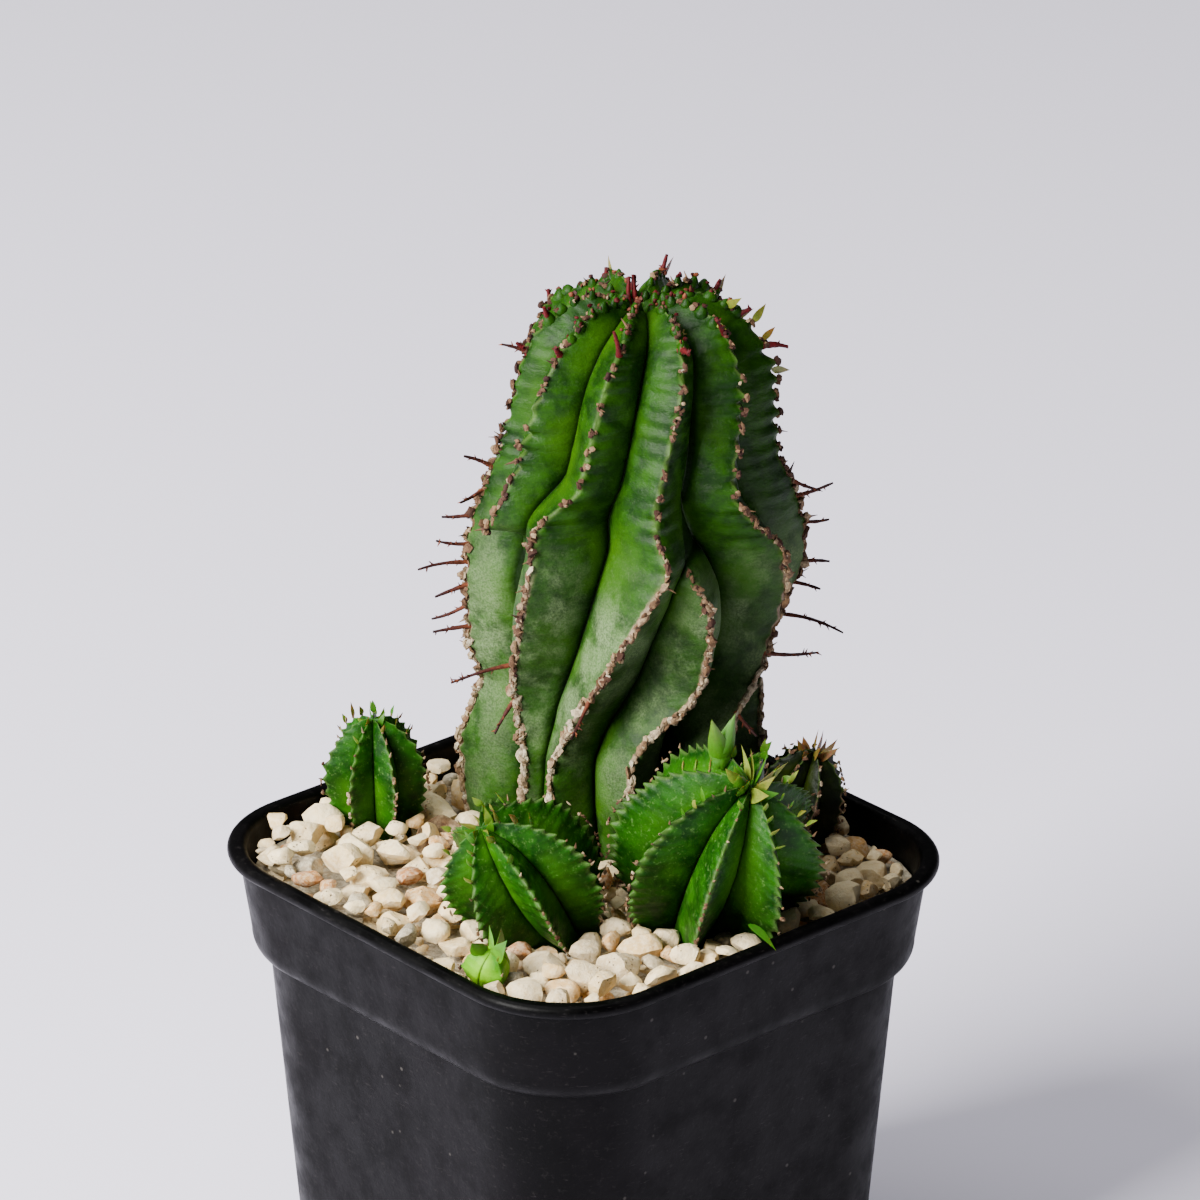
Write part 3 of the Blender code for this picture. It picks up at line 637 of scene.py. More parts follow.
stem = grow_ribs(STEM_RIBS, STEM_EDGE, STEM_ROWS, STEM_COLUMNS, STEM_HEIGHT, STEM_REACH, STEM_BURIED,
                 STEM_FLANK, STEM_FULL, STEM_SMOOTH, TUBERCLE, stem_swell, seed=11)
lean = np.maximum(stem["points"][:, :, 2:], 0.0) / STEM_HEIGHT * (*STEM_LEAN, 0.0)
stem["points"] += lean + (*STEM_PLACE, GROUND)
old_skin = green_skin("bloomed_green_skin", tint(16, 42, 0), tint(32, 66, 4), tint(46, 82, 4),
                      tint(98, 118, 80), 0.58, tint(134, 118, 98), 0.56, (1.0, 1.0, 2.2), 0.10)
place_piece("ribbed_stem", skin_mesh("ribbed_stem", stem), old_skin, ["main_stem"])

# ----------------------------------------------------------------- crumbs on the ribs' edges
# Where each tubercle's spine shield and old leaf have dried, the rib's edge carries brown and
# bone-coloured crumbs: sparse at the crown, nearly unbroken lower down, with small hooked tips.
STANDS_OUT = 0.6                # an edge's value below which the rib is sunk between its neighbours
OLD_BELOW = 0.40                # height shares where the oldest part ends and the youngest begins
YOUNG_ABOVE = 0.60
BARE = 0.06                     # share of the tubercles that have lost their crumbs


def edge_line(body, rib):
    """Points along a rib's edge, the way along it and the way out from it."""
    points = body["points"]
    wide = points.shape[1]
    column = rib * body["columns"]
    crest = points[:, column]
    beside = (points[:, (column - 3) % wide] + points[:, (column + 3) % wide]) / 2
    along = np.gradient(crest, axis=0)
    along /= np.maximum(np.linalg.norm(along, axis=1, keepdims=True), 1e-9)
    out = crest - beside
    out -= along * np.sum(out * along, axis=1, keepdims=True)
    out /= np.maximum(np.linalg.norm(out, axis=1, keepdims=True), 1e-9)
    length = np.concatenate(([0.0], np.cumsum(np.linalg.norm(np.diff(crest, axis=0), axis=1))))
    return {"crest": crest, "along": along, "out": out, "length": length,
            "share": body["share"][:, column], "beat": body["beat"][:, column],
            "near": body["near"][:, column]}


def edge_value(line, name, at):
    """A number that changes along an edge, so far along it."""
    return float(np.interp(at, line["length"], line[name]))


def on_edge(line, at):
    """The place, the way along and the way out, so far along an edge."""
    place, along, out = (
        Vector([float(np.interp(at, line["length"], line[name][:, k])) for k in range(3)])
        for name in ("crest", "along", "out"))
    return place, along.normalized(), out.normalized()


def at_height(line, height, name="length", crown_rows=12):
    """A number that changes along an edge, at a height share. The last rows dip in to the
    growing point and don't count."""
    return float(np.interp(height, line["share"][:-crown_rows], line[name][:-crown_rows]))


def facing(way, beside, place=(0, 0, 0)):
    """A place whose Z points one way and whose X lies as near as it can to another."""
    z = Vector(way).normalized()
    y = z.cross(Vector(beside)).normalized()
    return Matrix.Translation(place) @ Matrix((y.cross(z), y, z)).transposed().to_4x4()


def toned_bmesh():
    """An empty bmesh whose points can carry a tone, and the layer that holds it."""
    bm = bmesh.new()
    return bm, bm.verts.layers.float.new("tone")


def three(dice, least, most):
    """Three random measures."""
    return [dice.uniform(least, most) for _ in range(3)]


def add_crumb(bm, layer, dice, matrix, size, tone, steps=1):
    """One irregular dry crumb."""
    turned = matrix @ Matrix.Rotation(dice.uniform(-0.6, 0.6), 4, "Z") @ Matrix.Diagonal((*size, 1))
    verts = bmesh.ops.create_icosphere(bm, subdivisions=steps, radius=0.5)["verts"]
    for vertex in verts:
        vertex.co = turned @ (vertex.co * dice.uniform(0.68, 1.3))
        vertex[layer] = tone


def add_hook(bm, layer, dice, matrix, length, radius, tone):
    """A dry pointed tip that bends over."""
    verts = bmesh.ops.create_cone(bm, cap_ends=True, segments=5, radius1=radius, radius2=radius * 0.15,
                                  depth=length, matrix=Matrix.Translation((0, 0, length / 2)))["verts"]
    sway = Matrix.Rotation(dice.uniform(0, 6.28), 4, "Z")
    for vertex in verts:
        share = vertex.co.z / length
        vertex.co.x += length * 0.3 * share ** 2
        vertex.co = matrix @ sway @ vertex.co
        vertex[layer] = tone


def toned(tree, first, between, last):
    """The colour that the mesh's tone picks: the first at 0, the last at 1, and those between."""
    ramp = node(tree, "ValToRGB", Fac=stored(tree, "tone")).outputs["Color"]
    stops = ramp.node.color_ramp.elements
    stops[0].color = first
    stops[1].position = 1.0
    stops[1].color = last
    for place, colour in between:
        stops.new(place).color = colour
    return ramp


def dry_bits():
    material, tree, shader = finish("dry_crumbs")
    browns = ((0.25, tint(72, 50, 38)), (0.5, tint(118, 92, 66)), (0.75, tint(158, 138, 108)))
    dry = toned(tree, tint(38, 20, 18), browns, tint(190, 178, 150))
    fleck = product(tree, fade(tree, grain(tree, 0.0006, 4.0, 0.7), 0.38, 0.66), 0.6)
    feed(tree, shader.inputs["Base Color"], paint(tree, dry, tint(60, 40, 34), fleck))
    shader.inputs["Roughness"].default_value = 0.8
    shader.inputs["Specular IOR Level"].default_value = 0.2
    feed(tree, shader.inputs["Normal"], relief(tree, grain(tree, 0.0005, 3.0, 0.7), 0.0002))
    return material


def crest_bit(bm, layer, dice, line, at, size, tone, spread, steps):
    """A crumb so far along a rib's edge, a little to one side of it."""
    place, along, out = on_edge(line, at)
    place += along.cross(out) * dice.uniform(-spread, spread) + out * (size[2] * 0.15)
    add_crumb(bm, layer, dice, facing(out, along, place), size, min(max(tone, 0.0), 1.0), steps)


def pour(batch, whole):
    """Empties one bmesh into another. Small batches are much quicker to add to."""
    mesh = bpy.data.meshes.new("batch")
    batch.to_mesh(mesh)
    batch.free()
    whole.from_mesh(mesh)
    bpy.data.meshes.remove(mesh)


dice = random.Random(21)
crumbs = toned_bmesh()[0]
for rib in range(stem["ribs"]):
    bm, tone_layer = toned_bmesh()
    line = edge_line(stem, rib)
    for beat in range(math.ceil(at_height(line, 0.0, "beat")), int(line["beat"][-14])):
        at = float(np.interp(beat, line["beat"], line["length"]))
        if edge_value(line, "near", at) < STANDS_OUT or dice.random() < BARE:
            continue
        place, along, out = on_edge(line, at)
        share = edge_value(line, "share", at)
        old = min(max((OLD_BELOW - share) / 0.08, 0.0), 1.0)
        young = min(max((share - YOUNG_ABOVE) / 0.10, 0.0), 1.0)
        side = along.cross(out)
        tone = 0.26 + 0.16 * (1 - young) + 0.26 * old
        grown = dice.uniform(0.8, 1.15) * (1.0 - 0.30 * young)
        size = (grown * dice.uniform(0.0014, 0.0026), grown * dice.uniform(0.0009, 0.0014),
                grown * dice.uniform(0.0008, 0.0014))
        crest_bit(bm, tone_layer, dice, line, at, size, tone + dice.gauss(0, 0.15), 0.0002, 2)
        if young < 0.5 and dice.random() < 0.16:
            for _ in range(6):
                size = three(dice, 0.0007, 0.0018)
                crest_bit(bm, tone_layer, dice, line, at + dice.uniform(-0.0013, 0.0013), size,
                          tone + dice.gauss(0.05, 0.2), 0.0007, 1)
        for _ in range(dice.randint(2, 5)):
            size = three(dice, 0.0004, 0.0011)
            crest_bit(bm, tone_layer, dice, line, at + dice.uniform(-0.0009, 0.0009), size,
                      tone + dice.gauss(0.08, 0.2), 0.00055, 1)
        hooked = old < 0.7 and dice.random() > 0.6 * young
        for _ in range(dice.choice((0, 0, 1, 1, 2)) if hooked else 0):
            way = out + side * dice.choice((-1, 1)) * dice.uniform(0.4, 1.6)
            way += along * dice.uniform(-0.6, 0.9)
            add_hook(bm, tone_layer, dice, facing(way, along, place), dice.uniform(0.0009, 0.0022),
                     dice.uniform(0.00018, 0.00034), tone + dice.uniform(-0.2, 0.3))
        step = 0.0
        while step < TUBERCLE * (1.0 - young):
            step += dice.uniform(0.0004, 0.0010)
            size = (dice.uniform(0.0009, 0.0019) * (1 + 0.3 * old),
                    dice.uniform(0.0005, 0.0010) * (1 + 0.4 * old),
                    dice.uniform(0.0004, 0.0009) * (1 + 0.3 * old))
            crest_bit(bm, tone_layer, dice, line, at + step, size, tone + dice.gauss(0.10, 0.20),
                      0.00040, 2 if old > 0.5 else 1)
    pour(bm, crumbs)
bits = dry_bits()
place_piece("edge_crumbs", crumbs, bits, sharp=50)

# ------------------------------------------------------------------------ flower stalks
# Last year's flower stalks have dried hard and stand out like spines: thin, dark, a little
# bent, and set with the tiny bracts that the flowers sat between. The crown's are young and red.
# For each: rib, height share, length, and how far it leans up and to its side, in degrees.
STALKS = (
    (0, 0.385, 0.0058, -2, 4), (0, 0.43, 0.0056, -18, 4), (0, 0.47, 0.0052, -12, -6),
    (0, 0.515, 0.0086, 4, 2), (0, 0.55, 0.0054, 14, 6), (0, 0.60, 0.0045, 2, -4),
    (0, 0.645, 0.0053, -4, 6), (0, 0.69, 0.0050, 28, 0), (0, 0.90, 0.0040, 24, 4),
    (2, 0.385, 0.0100, -8, -30), (2, 0.315, 0.0066, -40, -18), (3, 0.345, 0.0075, -28, 10),
    (5, 0.36, 0.0095, -12, 14), (5, 0.27, 0.0045, -40, 8),
    (6, 0.375, 0.0105, -14, -14), (6, 0.435, 0.0044, -12, -4), (6, 0.475, 0.0042, -6, 6),
    (6, 0.555, 0.0038, 4, 0), (6, 0.615, 0.0058, 20, 8), (6, 0.65, 0.0045, -24, -4),
    (2, 0.955, 0.0042, 70, 0), (5, 0.955, 0.0044, 50, 0), (9, 0.985, 0.0040, 75, 0),
    (10, 0.975, 0.0040, 70, 0),
)
STALK_RADIUS = 0.00036
STALK_SIDES = 7
CROWN_FROM = 0.9                # height share above which the stalks are young and red


def add_stalk(bm, tone_layer, dice, matrix, length, radius, rings, bracts, red):
    """A tapering, slightly bent twig with bracts along it, grown ring by ring."""
    verts = bmesh.ops.create_circle(bm, cap_ends=True, segments=STALK_SIDES,
                                    radius=radius * 1.35)["verts"]
    edges = list({edge for vertex in verts for edge in vertex.link_edges})
    bend = length * dice.uniform(-0.07, 0.07)
    wobble = dice.uniform(0, 6.28)

    def centre(share):
        return Vector((bend * math.sin(3 * share), bend * math.sin(2 * share + wobble) * 0.6,
                       length * share))

    every = list(verts)
    for vertex in verts:
        vertex[tone_layer] = red
    for ring in range(1, rings + 1):
        share = ring / rings
        grown = bmesh.ops.extrude_edge_only(bm, edges=edges)["geom"]
        ring_verts = [item for item in grown if isinstance(item, bmesh.types.BMVert)]
        edges = [item for item in grown if isinstance(item, bmesh.types.BMEdge) and item.is_boundary]
        middle = sum((vertex.co for vertex in ring_verts), Vector()) / STALK_SIDES
        thick = radius * (1.12 - 0.62 * share) * dice.uniform(0.85, 1.18)
        for vertex in ring_verts:
            arm = Vector((vertex.co.x - middle.x, vertex.co.y - middle.y, 0)).normalized()
            vertex.co = centre(share) + arm * thick
            vertex[tone_layer] = red * (1 - share) if red < 0.9 else 0.95 - 0.1 * share
        every += ring_verts
    bmesh.ops.edgeloop_fill(bm, edges=edges)
    for vertex in every:
        vertex.co = matrix @ vertex.co
    for _ in range(bracts):
        share = dice.uniform(0.22, 0.98)
        spin = Matrix.Rotation(dice.uniform(0, 6.28), 4, "Z")
        open_by = Matrix.Rotation(dice.uniform(0.7, 1.25), 4, "Y")
        tip = matrix @ Matrix.Translation(centre(share)) @ spin @ open_by
        add_hook(bm, tone_layer, dice, tip, dice.uniform(0.0006, 0.0010), radius * 0.6,
                 dice.uniform(0.3, 0.6) if red < 0.9 else 0.9)


def stalk_bark():
    material, tree, shader = finish("stalk_bark")
    browns = ((0.3, tint(70, 34, 28)), (0.55, tint(120, 66, 42)), (0.8, tint(72, 8, 14)))
    bark = toned(tree, tint(36, 22, 22), browns, tint(92, 6, 18))
    streak = product(tree, fade(tree, grain(tree, 0.0007, 3.0, 0.6), 0.35, 0.7), 0.55)
    feed(tree, shader.inputs["Base Color"], paint(tree, bark, tint(40, 22, 22), streak))
    shader.inputs["Roughness"].default_value = 0.62
    shader.inputs["Specular IOR Level"].default_value = 0.2
    feed(tree, shader.inputs["Normal"], relief(tree, grain(tree, 0.0004, 3.0, 0.7), 0.00010))
    return material


bm, tone_layer = toned_bmesh()
dice = random.Random(33)
lines = [edge_line(stem, rib) for rib in range(stem["ribs"])]
for rib, height, length, rise, side in STALKS:
    line = lines[rib]
    at = at_height(line, height, crown_rows=8)
    place, along, out = on_edge(line, at)
    level = math.atan2(out.y, out.x) + math.radians(side)
    way = Vector((math.cos(level) * math.cos(math.radians(rise)),
                  math.sin(level) * math.cos(math.radians(rise)), math.sin(math.radians(rise))))
    young = edge_value(line, "share", at) > CROWN_FROM
    bracts = 2 if young else round(length / 0.0009)
    add_stalk(bm, tone_layer, dice, facing(way, along, place - way * 0.0004), length + 0.0006,
              STALK_RADIUS * (1.25 if young else 1.0), 10, bracts, 1.0 if young else 0.55)
bark = stalk_bark()
place_piece("flower_stalks", bm, bark,
            [f"spine_{number:02d}" for number in range(1, len(STALKS) + 1)], sharp=60)

# ---------------------------------------------------------------------- the growing crown
# Round the growing point the youngest tubercles still stand free as small green horns, each
# with a red or brown stub on it, and a few withered leaves lie between them.
HORN_STEP = 0.0030
HORNS_FROM = 0.955              # height share
# The red stubs: rib, height share, length, and how far each leans up and to its side.
CROWN_STUBS = (
    (0, 0.90, 0.0026, 0.4, 0.0), (0, 0.955, 0.0030, 0.5, 0.2), (1, 0.935, 0.0028, 0.5, 0.2),
    (3, 0.955, 0.0032, 0.4, 0.1), (6, 0.90, 0.0040, 0.3, 0.3), (6, 0.955, 0.0026, 0.8, 0.2),
    (7, 0.96, 0.0028, 0.8, 0.0), (8, 0.975, 0.0042, 0.8, -0.3), (9, 0.96, 0.0030, 0.8, 0.0),
    (10, 0.94, 0.0030, 0.8, 0.2),
)
# The withered leaves, in the same way.
WITHERED = (
    (6, 0.86, 0.0036, 0.3, 0.9), (6, 0.91, 0.0046, 0.2, -0.6), (6, 0.94, 0.0040, 0.5, 0.8),
    (7, 0.90, 0.0042, 0.2, -0.8), (7, 0.95, 0.0038, 0.6, 0.5), (8, 0.97, 0.0036, 0.9, -0.4),
    (6, 0.97, 0.0040, 0.4, -0.9), (5, 0.975, 0.0034, 0.6, 0.9), (4, 0.97, 0.0030, 0.6, 0.6),
    (9, 0.975, 0.0036, 1.0, 0.3),
)
horns = bmesh.new()
horn_layers = [horns.verts.layers.float.new(name) for name in ("near", "share", "beat")]
stubs, stub_layer = toned_bmesh()
dice = random.Random(71)
for line in lines:
    if float(line["near"][-20]) < STANDS_OUT:
        continue
    at = at_height(line, HORNS_FROM) + dice.uniform(0, 0.001)
    while at < line["length"][-1] - 0.0022:
        place, along, out = on_edge(line, at)
        at += HORN_STEP * dice.uniform(0.75, 1.2)
        side = along.cross(out)
        way = (out + Vector((0, 0, 0.5)) + side * dice.uniform(-0.25, 0.25)).normalized()
        tall = dice.uniform(0.0009, 0.0017)
        wide = dice.uniform(0.0013, 0.0021)
        matrix = facing(way, along, place - way * 0.0003)
        verts = bmesh.ops.create_uvsphere(horns, u_segments=10, v_segments=8, radius=1.0)["verts"]
        for vertex in verts:
            narrow = 1.0 - 0.38 * max(vertex.co.z, 0.0)
            vertex.co = matrix @ Vector((vertex.co.x * wide * narrow * 0.62,
                                         vertex.co.y * wide * narrow * 0.5, vertex.co.z * tall))
            for layer, value in zip(horn_layers, (0.75, 0.95, 0.0)):
                vertex[layer] = value
        tip = facing(way + Vector((0, 0, dice.uniform(0, 0.4))), along, place + way * (tall - 0.0006))
        if dice.random() < 0.10:
            add_stalk(stubs, stub_layer, dice, tip, dice.uniform(0.0015, 0.0026),
                      STALK_RADIUS * 1.3, 6, 2, 1.0)
        for _ in range(dice.randint(1, 3)):
            size = three(dice, 0.0005, 0.0011)
            shift = Matrix.Translation(three(dice, -0.0006, 0.0006))
            add_crumb(stubs, stub_layer, dice, tip @ shift, size, dice.choice((0.2, 0.35, 0.5, 0.8)))


def crown_place(rib, height, rise, side):
    """A place on a rib's edge, the way along it, and the way that something there leans."""
    place, along, out = on_edge(lines[rib], at_height(lines[rib], height))
    return place, along, out + Vector((0, 0, rise)) + along.cross(out) * side


for rib, height, length, rise, side in CROWN_STUBS:
    place, along, way = crown_place(rib, height, rise, side)
    add_stalk(stubs, stub_layer, dice, facing(way, along, place - way * 0.0004), length,
              STALK_RADIUS * 1.5, 8, 3, 1.0)
place_piece("crown_horns", horns, old_skin)
place_piece("crown_stubs", stubs, bark, sharp=60)


def leaf_blade(bm, layer, matrix, length, width, curl, tone, sides=8):
    """A narrow pointed leaf with a thick middle, bent along its length. Z runs to its tip."""
    verts = bmesh.ops.create_uvsphere(bm, u_segments=sides, v_segments=9, radius=0.5)["verts"]
    for vertex in verts:
        share = vertex.co.z + 0.5
        wide = max(math.sin(math.pi * min(share, 1.0) ** 0.62), 0.0) ** 1.15
        ring = math.hypot(vertex.co.x, vertex.co.y)
        spread = wide / max(2 * ring, 1e-6) if ring > 1e-5 else 0.0
        x = vertex.co.x * spread * width
        y = vertex.co.y * spread * width * 0.22 + abs(x) * 0.35
        y += curl * length * share ** 2
        vertex.co = matrix @ Vector((x, y, share * length))
        vertex[layer] = tone + 0.15 * share


def leaf_green():
    """Fresh lime at tone 0, deep green, then yellow and the brown of a withered leaf at 1."""
    material, tree, shader = finish("small_leaf")
    greens = ((0.22, tint(34, 92, 2)), (0.48, tint(60, 112, 8)), (0.70, tint(112, 126, 44)))
    green = toned(tree, tint(98, 160, 14), greens, tint(104, 66, 34))
    streak = product(tree, fade(tree, grain(tree, 0.0009, 3.0, 0.6), 0.4, 0.7), 0.5)
    feed(tree, shader.inputs["Base Color"], paint(tree, green, tint(60, 84, 24), streak))
    shader.inputs["Roughness"].default_value = 0.42
    shader.inputs["Subsurface Weight"].default_value = 0.10
    shader.inputs["Subsurface Scale"].default_value = 0.001
    feed(tree, shader.inputs["Normal"], relief(tree, grain(tree, 0.0005, 3.0, 0.6), 0.00005))
    return material


leaf = leaf_green()
bm, tone_layer = toned_bmesh()
for rib, height, length, rise, side in WITHERED:
    place, along, way = crown_place(rib, height, rise, side)
    leaf_blade(bm, tone_layer, facing(way, along, place), length, dice.uniform(0.0009, 0.0014),
               dice.uniform(-0.3, 0.3), dice.uniform(0.60, 0.95))
place_piece("withered_leaves", bm, leaf, sharp=60)

# -------------------------------------------------------------------------- the offsets
# Four young stems lean out round the old one's foot, and a sprout has just come up beside
# them. Their skin is brighter and glossier, their ribs are toothed like a saw, and each crown
# carries a star of small pointed leaves. The one behind on the right has dried, and its skin is
# painted darker as painted shade for the shadow it stands in.
OFFSET_EDGE = (
    (0.0, 0.66, 0.0), (0.18, 0.88, 0.0), (0.40, 1.0, 0.0), (0.60, 0.97, 0.0),
    (0.78, 0.80, 0.01), (0.91, 0.54, 0.03), (0.985, 0.26, 0.04), (1.0, 0.10, 0.02),
    (0.985, 0.0, 0.0),
)
OFFSET_FLANK = 0.0235
OFFSET_FULL = -0.25
OFFSET_ROWS = 120
OFFSET_COLUMNS = 22
OFFSET_SMOOTH = 2.0
TOOTH = 0.0021                  # from one tooth to the next along a rib's edge
TOOTH_TIP = 0.62                # how far along each tooth its tip lies
OFFSETS = {
    "offset_front_left": dict(height=0.0240, reach=0.0124, ribs=7, buried=0.0045, lean=36.0,
                              lean_to=170.0, stands=216.0, space=0.0036, twist=18.0, turn=8.0),
    "offset_front_right": dict(height=0.0300, reach=0.0163, ribs=8, buried=0.0045, lean=29.0,
                               lean_to=268.0, stands=249.0, space=-0.0035, twist=-14.0, turn=0.0),
    "offset_back_left": dict(height=0.0195, reach=0.0082, ribs=7, buried=0.0050, lean=5.0,
                             lean_to=200.0, stands=144.0, space=0.0073, twist=6.0, turn=20.0),
    "offset_back_right": dict(height=0.0170, reach=0.0072, ribs=7, buried=0.0050, lean=14.0,
                              lean_to=300.0, stands=300.0, space=0.0006, twist=10.0, turn=10.0),
    "sprout_front": dict(height=0.0062, reach=0.0040, ribs=3, buried=0.0015, lean=18.0,
                         lean_to=250.0, stands=210.3, space=0.0349, twist=0.0, turn=30.0),
}


def offset_place(spec):
    """Where an offset stands: out from the tall stem's foot, tipped the way it leans."""
    way = math.radians(spec["stands"])
    distance = STEM_EDGE[0][1] * STEM_REACH + spec["reach"] + spec["space"]
    foot = Vector((STEM_PLACE[0] + distance * math.cos(way),
                   STEM_PLACE[1] + distance * math.sin(way), GROUND))
    lean_to = math.radians(spec["lean_to"])
    hinge = Vector((-math.sin(lean_to), math.cos(lean_to), 0.0))
    return Matrix.Translation(foot) @ Matrix.Rotation(math.radians(spec["lean"]), 4, hinge)


def tooth_height(beat):
    """A saw tooth that rises slowly and drops fast towards the crown."""
    part = beat % 1.0
    return np.minimum(part / TOOTH_TIP, (1.0 - part) / (1.0 - TOOTH_TIP))


def offset_swell(near, beat, points, share):
    size = min(np.abs(points[:, :, 0]).max() / 0.012, 1.2)
    teeth = 0.00165 * size * (tooth_height(beat) ** 1.2 - 0.40) * near ** 7
    ripples = 0.00016 * size * np.cos(2 * np.pi * beat) * near ** 1.5
    return teeth + ripples + 0.00016 * waves(points, 0.006, 8)


def carry(body, matrix):
    """Stands a ribbed body in its place."""
    turn = np.array(matrix.to_3x3())
    body["points"] = body["points"] @ turn.T + np.array(matrix.translation)
    return body


young_skin = green_skin("young_green_skin", tint(12, 46, 0), tint(28, 74, 4), tint(50, 100, 4),
                        tint(104, 140, 74), -0.4, tint(160, 136, 110), 0.06, (1.0, 1.0, 1.0), 0.35)
# The back right offset's skin is dried, and it is also painted darker and duller all over as painted
# shade.
dark_skin = green_skin("dried_shaded_green_skin", tint(8, 18, 2), tint(20, 30, 6), tint(38, 48, 10),
                       tint(66, 68, 44), 0.5, tint(110, 90, 74), 0.70, (1.0, 1.0, 1.0))
sprout_skin = green_skin("sprout_green_skin", tint(52, 112, 0), tint(92, 152, 6), tint(124, 184, 16),
                         tint(150, 200, 80), -0.4, tint(124, 170, 40), -0.4, (1.0, 1.0, 1.0))
SKINS = {"offset_back_right": (dark_skin, "dark_green_skin"),
         "sprout_front": (sprout_skin, "young_green_skin")}
offsets = {}
for number, (name, spec) in enumerate(OFFSETS.items()):
    ribs = []
    for index in range(spec["ribs"]):
        start = spec["turn"] + 360.0 * index / spec["ribs"]
        ribs.append(((0.0, start, 1.0), (1.0, start + spec["twist"], 1.0)))
    flank = OFFSET_FLANK * spec["ribs"] / 8
    body = grow_ribs(ribs, OFFSET_EDGE, OFFSET_ROWS, OFFSET_COLUMNS, spec["height"], spec["reach"],
                     spec["buried"], flank, OFFSET_FULL, OFFSET_SMOOTH, TOOTH, offset_swell,
                     seed=40 + 20 * number)
    carry(body, offset_place(spec))
    offsets[name] = body
    skin, slot = SKINS.get(name, (young_skin, "young_green_skin"))
    place_piece(name.replace("offset", "young_stem").replace("sprout", "young_sprout"),
                skin_mesh(name, body), skin, [name])

# ------------------------------------------------------ the offsets' dry tips and leaf tufts
# Each tooth ends in a small dry tip, and crumbs take its place on the older part of an edge. A
# tuft of thick, pointed leaves grows at each growing point, some of them brown at the tip.
# Each offset's tuft: how many leaves, how long and how wide.
TUFTS = {
    "offset_front_left": (8, 0.0040, 0.0015), "offset_front_right": (15, 0.0066, 0.0021),
    "offset_back_left": (6, 0.0030, 0.0012), "offset_back_right": (9, 0.0042, 0.0015),
    "sprout_front": (4, 0.0056, 0.0026),
}
LEAF_TONES = {"sprout_front": (0.0, 0.12), "offset_back_right": (0.80, 0.98)}
GREEN_TONES = (0.18, 0.72)
SIDE_SHOOT = (-0.0046, 0.0026, -0.0040)     # right, up and nearer, from the front right offset's tip
SHOOT_LEAVES = 4
OLD_EDGE = 0.62                 # height share below which an edge carries crumbs
TUFT_FROM = 0.84                # and above which leaves grow between the teeth

bm, tone_layer = toned_bmesh()
leaves, leaf_layer = toned_bmesh()
dice = random.Random(52)
for name, body in offsets.items():
    spec = OFFSETS[name]
    dried = name == "offset_back_right"
    leaf_size = min(spec["reach"] / 0.0124, 1.1) ** 0.5
    axis = (Vector(body["points"][-1, 0]) - Vector(body["points"][0, 0])).normalized()
    for rib in range(body["ribs"]):
        line = edge_line(body, rib)
        for beat in range(math.ceil(at_height(line, 0.02, "beat", crown_rows=6)),
                          math.ceil(line["beat"][-6])):
            at = float(np.interp(beat - (1.0 - TOOTH_TIP), line["beat"], line["length"]))
            place, along, out = on_edge(line, at)
            share = edge_value(line, "share", at)
            side = along.cross(out)
            if share < OLD_EDGE or dried:
                for _ in range(dice.choice((1, 2, 2, 3))):
                    matrix = facing(out, along, place + along * dice.uniform(-0.0007, 0.0007)
                                    + side * dice.uniform(-0.0002, 0.0002) + out * 0.0001)
                    size = (dice.uniform(0.0005, 0.0012), dice.uniform(0.0004, 0.0007),
                            dice.uniform(0.0003, 0.0006))
                    add_crumb(bm, tone_layer, dice, matrix, size, dice.uniform(0.25, 0.85))
            if dice.random() < 0.5:
                way = out + along * dice.uniform(0.2, 1.0) + side * dice.uniform(-0.35, 0.35)
                add_hook(bm, tone_layer, dice, facing(way, along, place), dice.uniform(0.0005, 0.0010),
                         0.00022, dice.uniform(0.3, 0.8))
            if share > TUFT_FROM and not dried and dice.random() < 0.6:
                way = out * 0.8 + axis * dice.uniform(0.3, 1.0) + side * dice.uniform(-0.4, 0.4)
                leaf_blade(leaves, leaf_layer, facing(way, side, place),
                           dice.uniform(0.0018, 0.0032) * leaf_size,
                           dice.uniform(0.0009, 0.0014) * leaf_size,
                           dice.uniform(-0.05, 0.3), dice.uniform(0.22, 0.8))
    apex = Vector(body["points"][-1, 0]) - axis * 0.0012
    count, length, width = TUFTS[name]
    beside = facing(axis, (1, 0, 0)).to_3x3()
    for number in range(count):
        turn = 2.4 * number + dice.uniform(-0.3, 0.3)
        open_by = dice.uniform(0.25, 0.95)
        arm = beside @ Vector((math.cos(turn), math.sin(turn), 0))
        way = axis + arm * open_by
        start = apex + arm * 0.0010
        leaf_blade(leaves, leaf_layer, facing(way, axis, start), length * dice.uniform(0.7, 1.15),
                   width * dice.uniform(0.8, 1.2), dice.uniform(-0.25, 0.05),
                   dice.uniform(*LEAF_TONES.get(name, GREEN_TONES)))
body = offsets["offset_front_right"]
nearer = Vector((back.x, back.y, 0.0)).normalized()
base = (Vector(body["points"][-1, 0]) + right * SIDE_SHOOT[0] + Vector((0, 0, SIDE_SHOOT[1]))
        + nearer * SIDE_SHOOT[2])
for number in range(SHOOT_LEAVES):
    turn = 1.7 * number
    way = Vector((0.32 * math.cos(turn), 0.32 * math.sin(turn), 1.0))
    leaf_blade(leaves, leaf_layer, facing(way, right, base - way * 0.0016),
               dice.uniform(0.0078, 0.0100), 0.0032, dice.uniform(-0.12, 0.12), dice.uniform(0.24, 0.45))
place_piece("tooth_tips", bm, bits, sharp=50)
place_piece("crown_leaves", leaves, leaf, sharp=60)

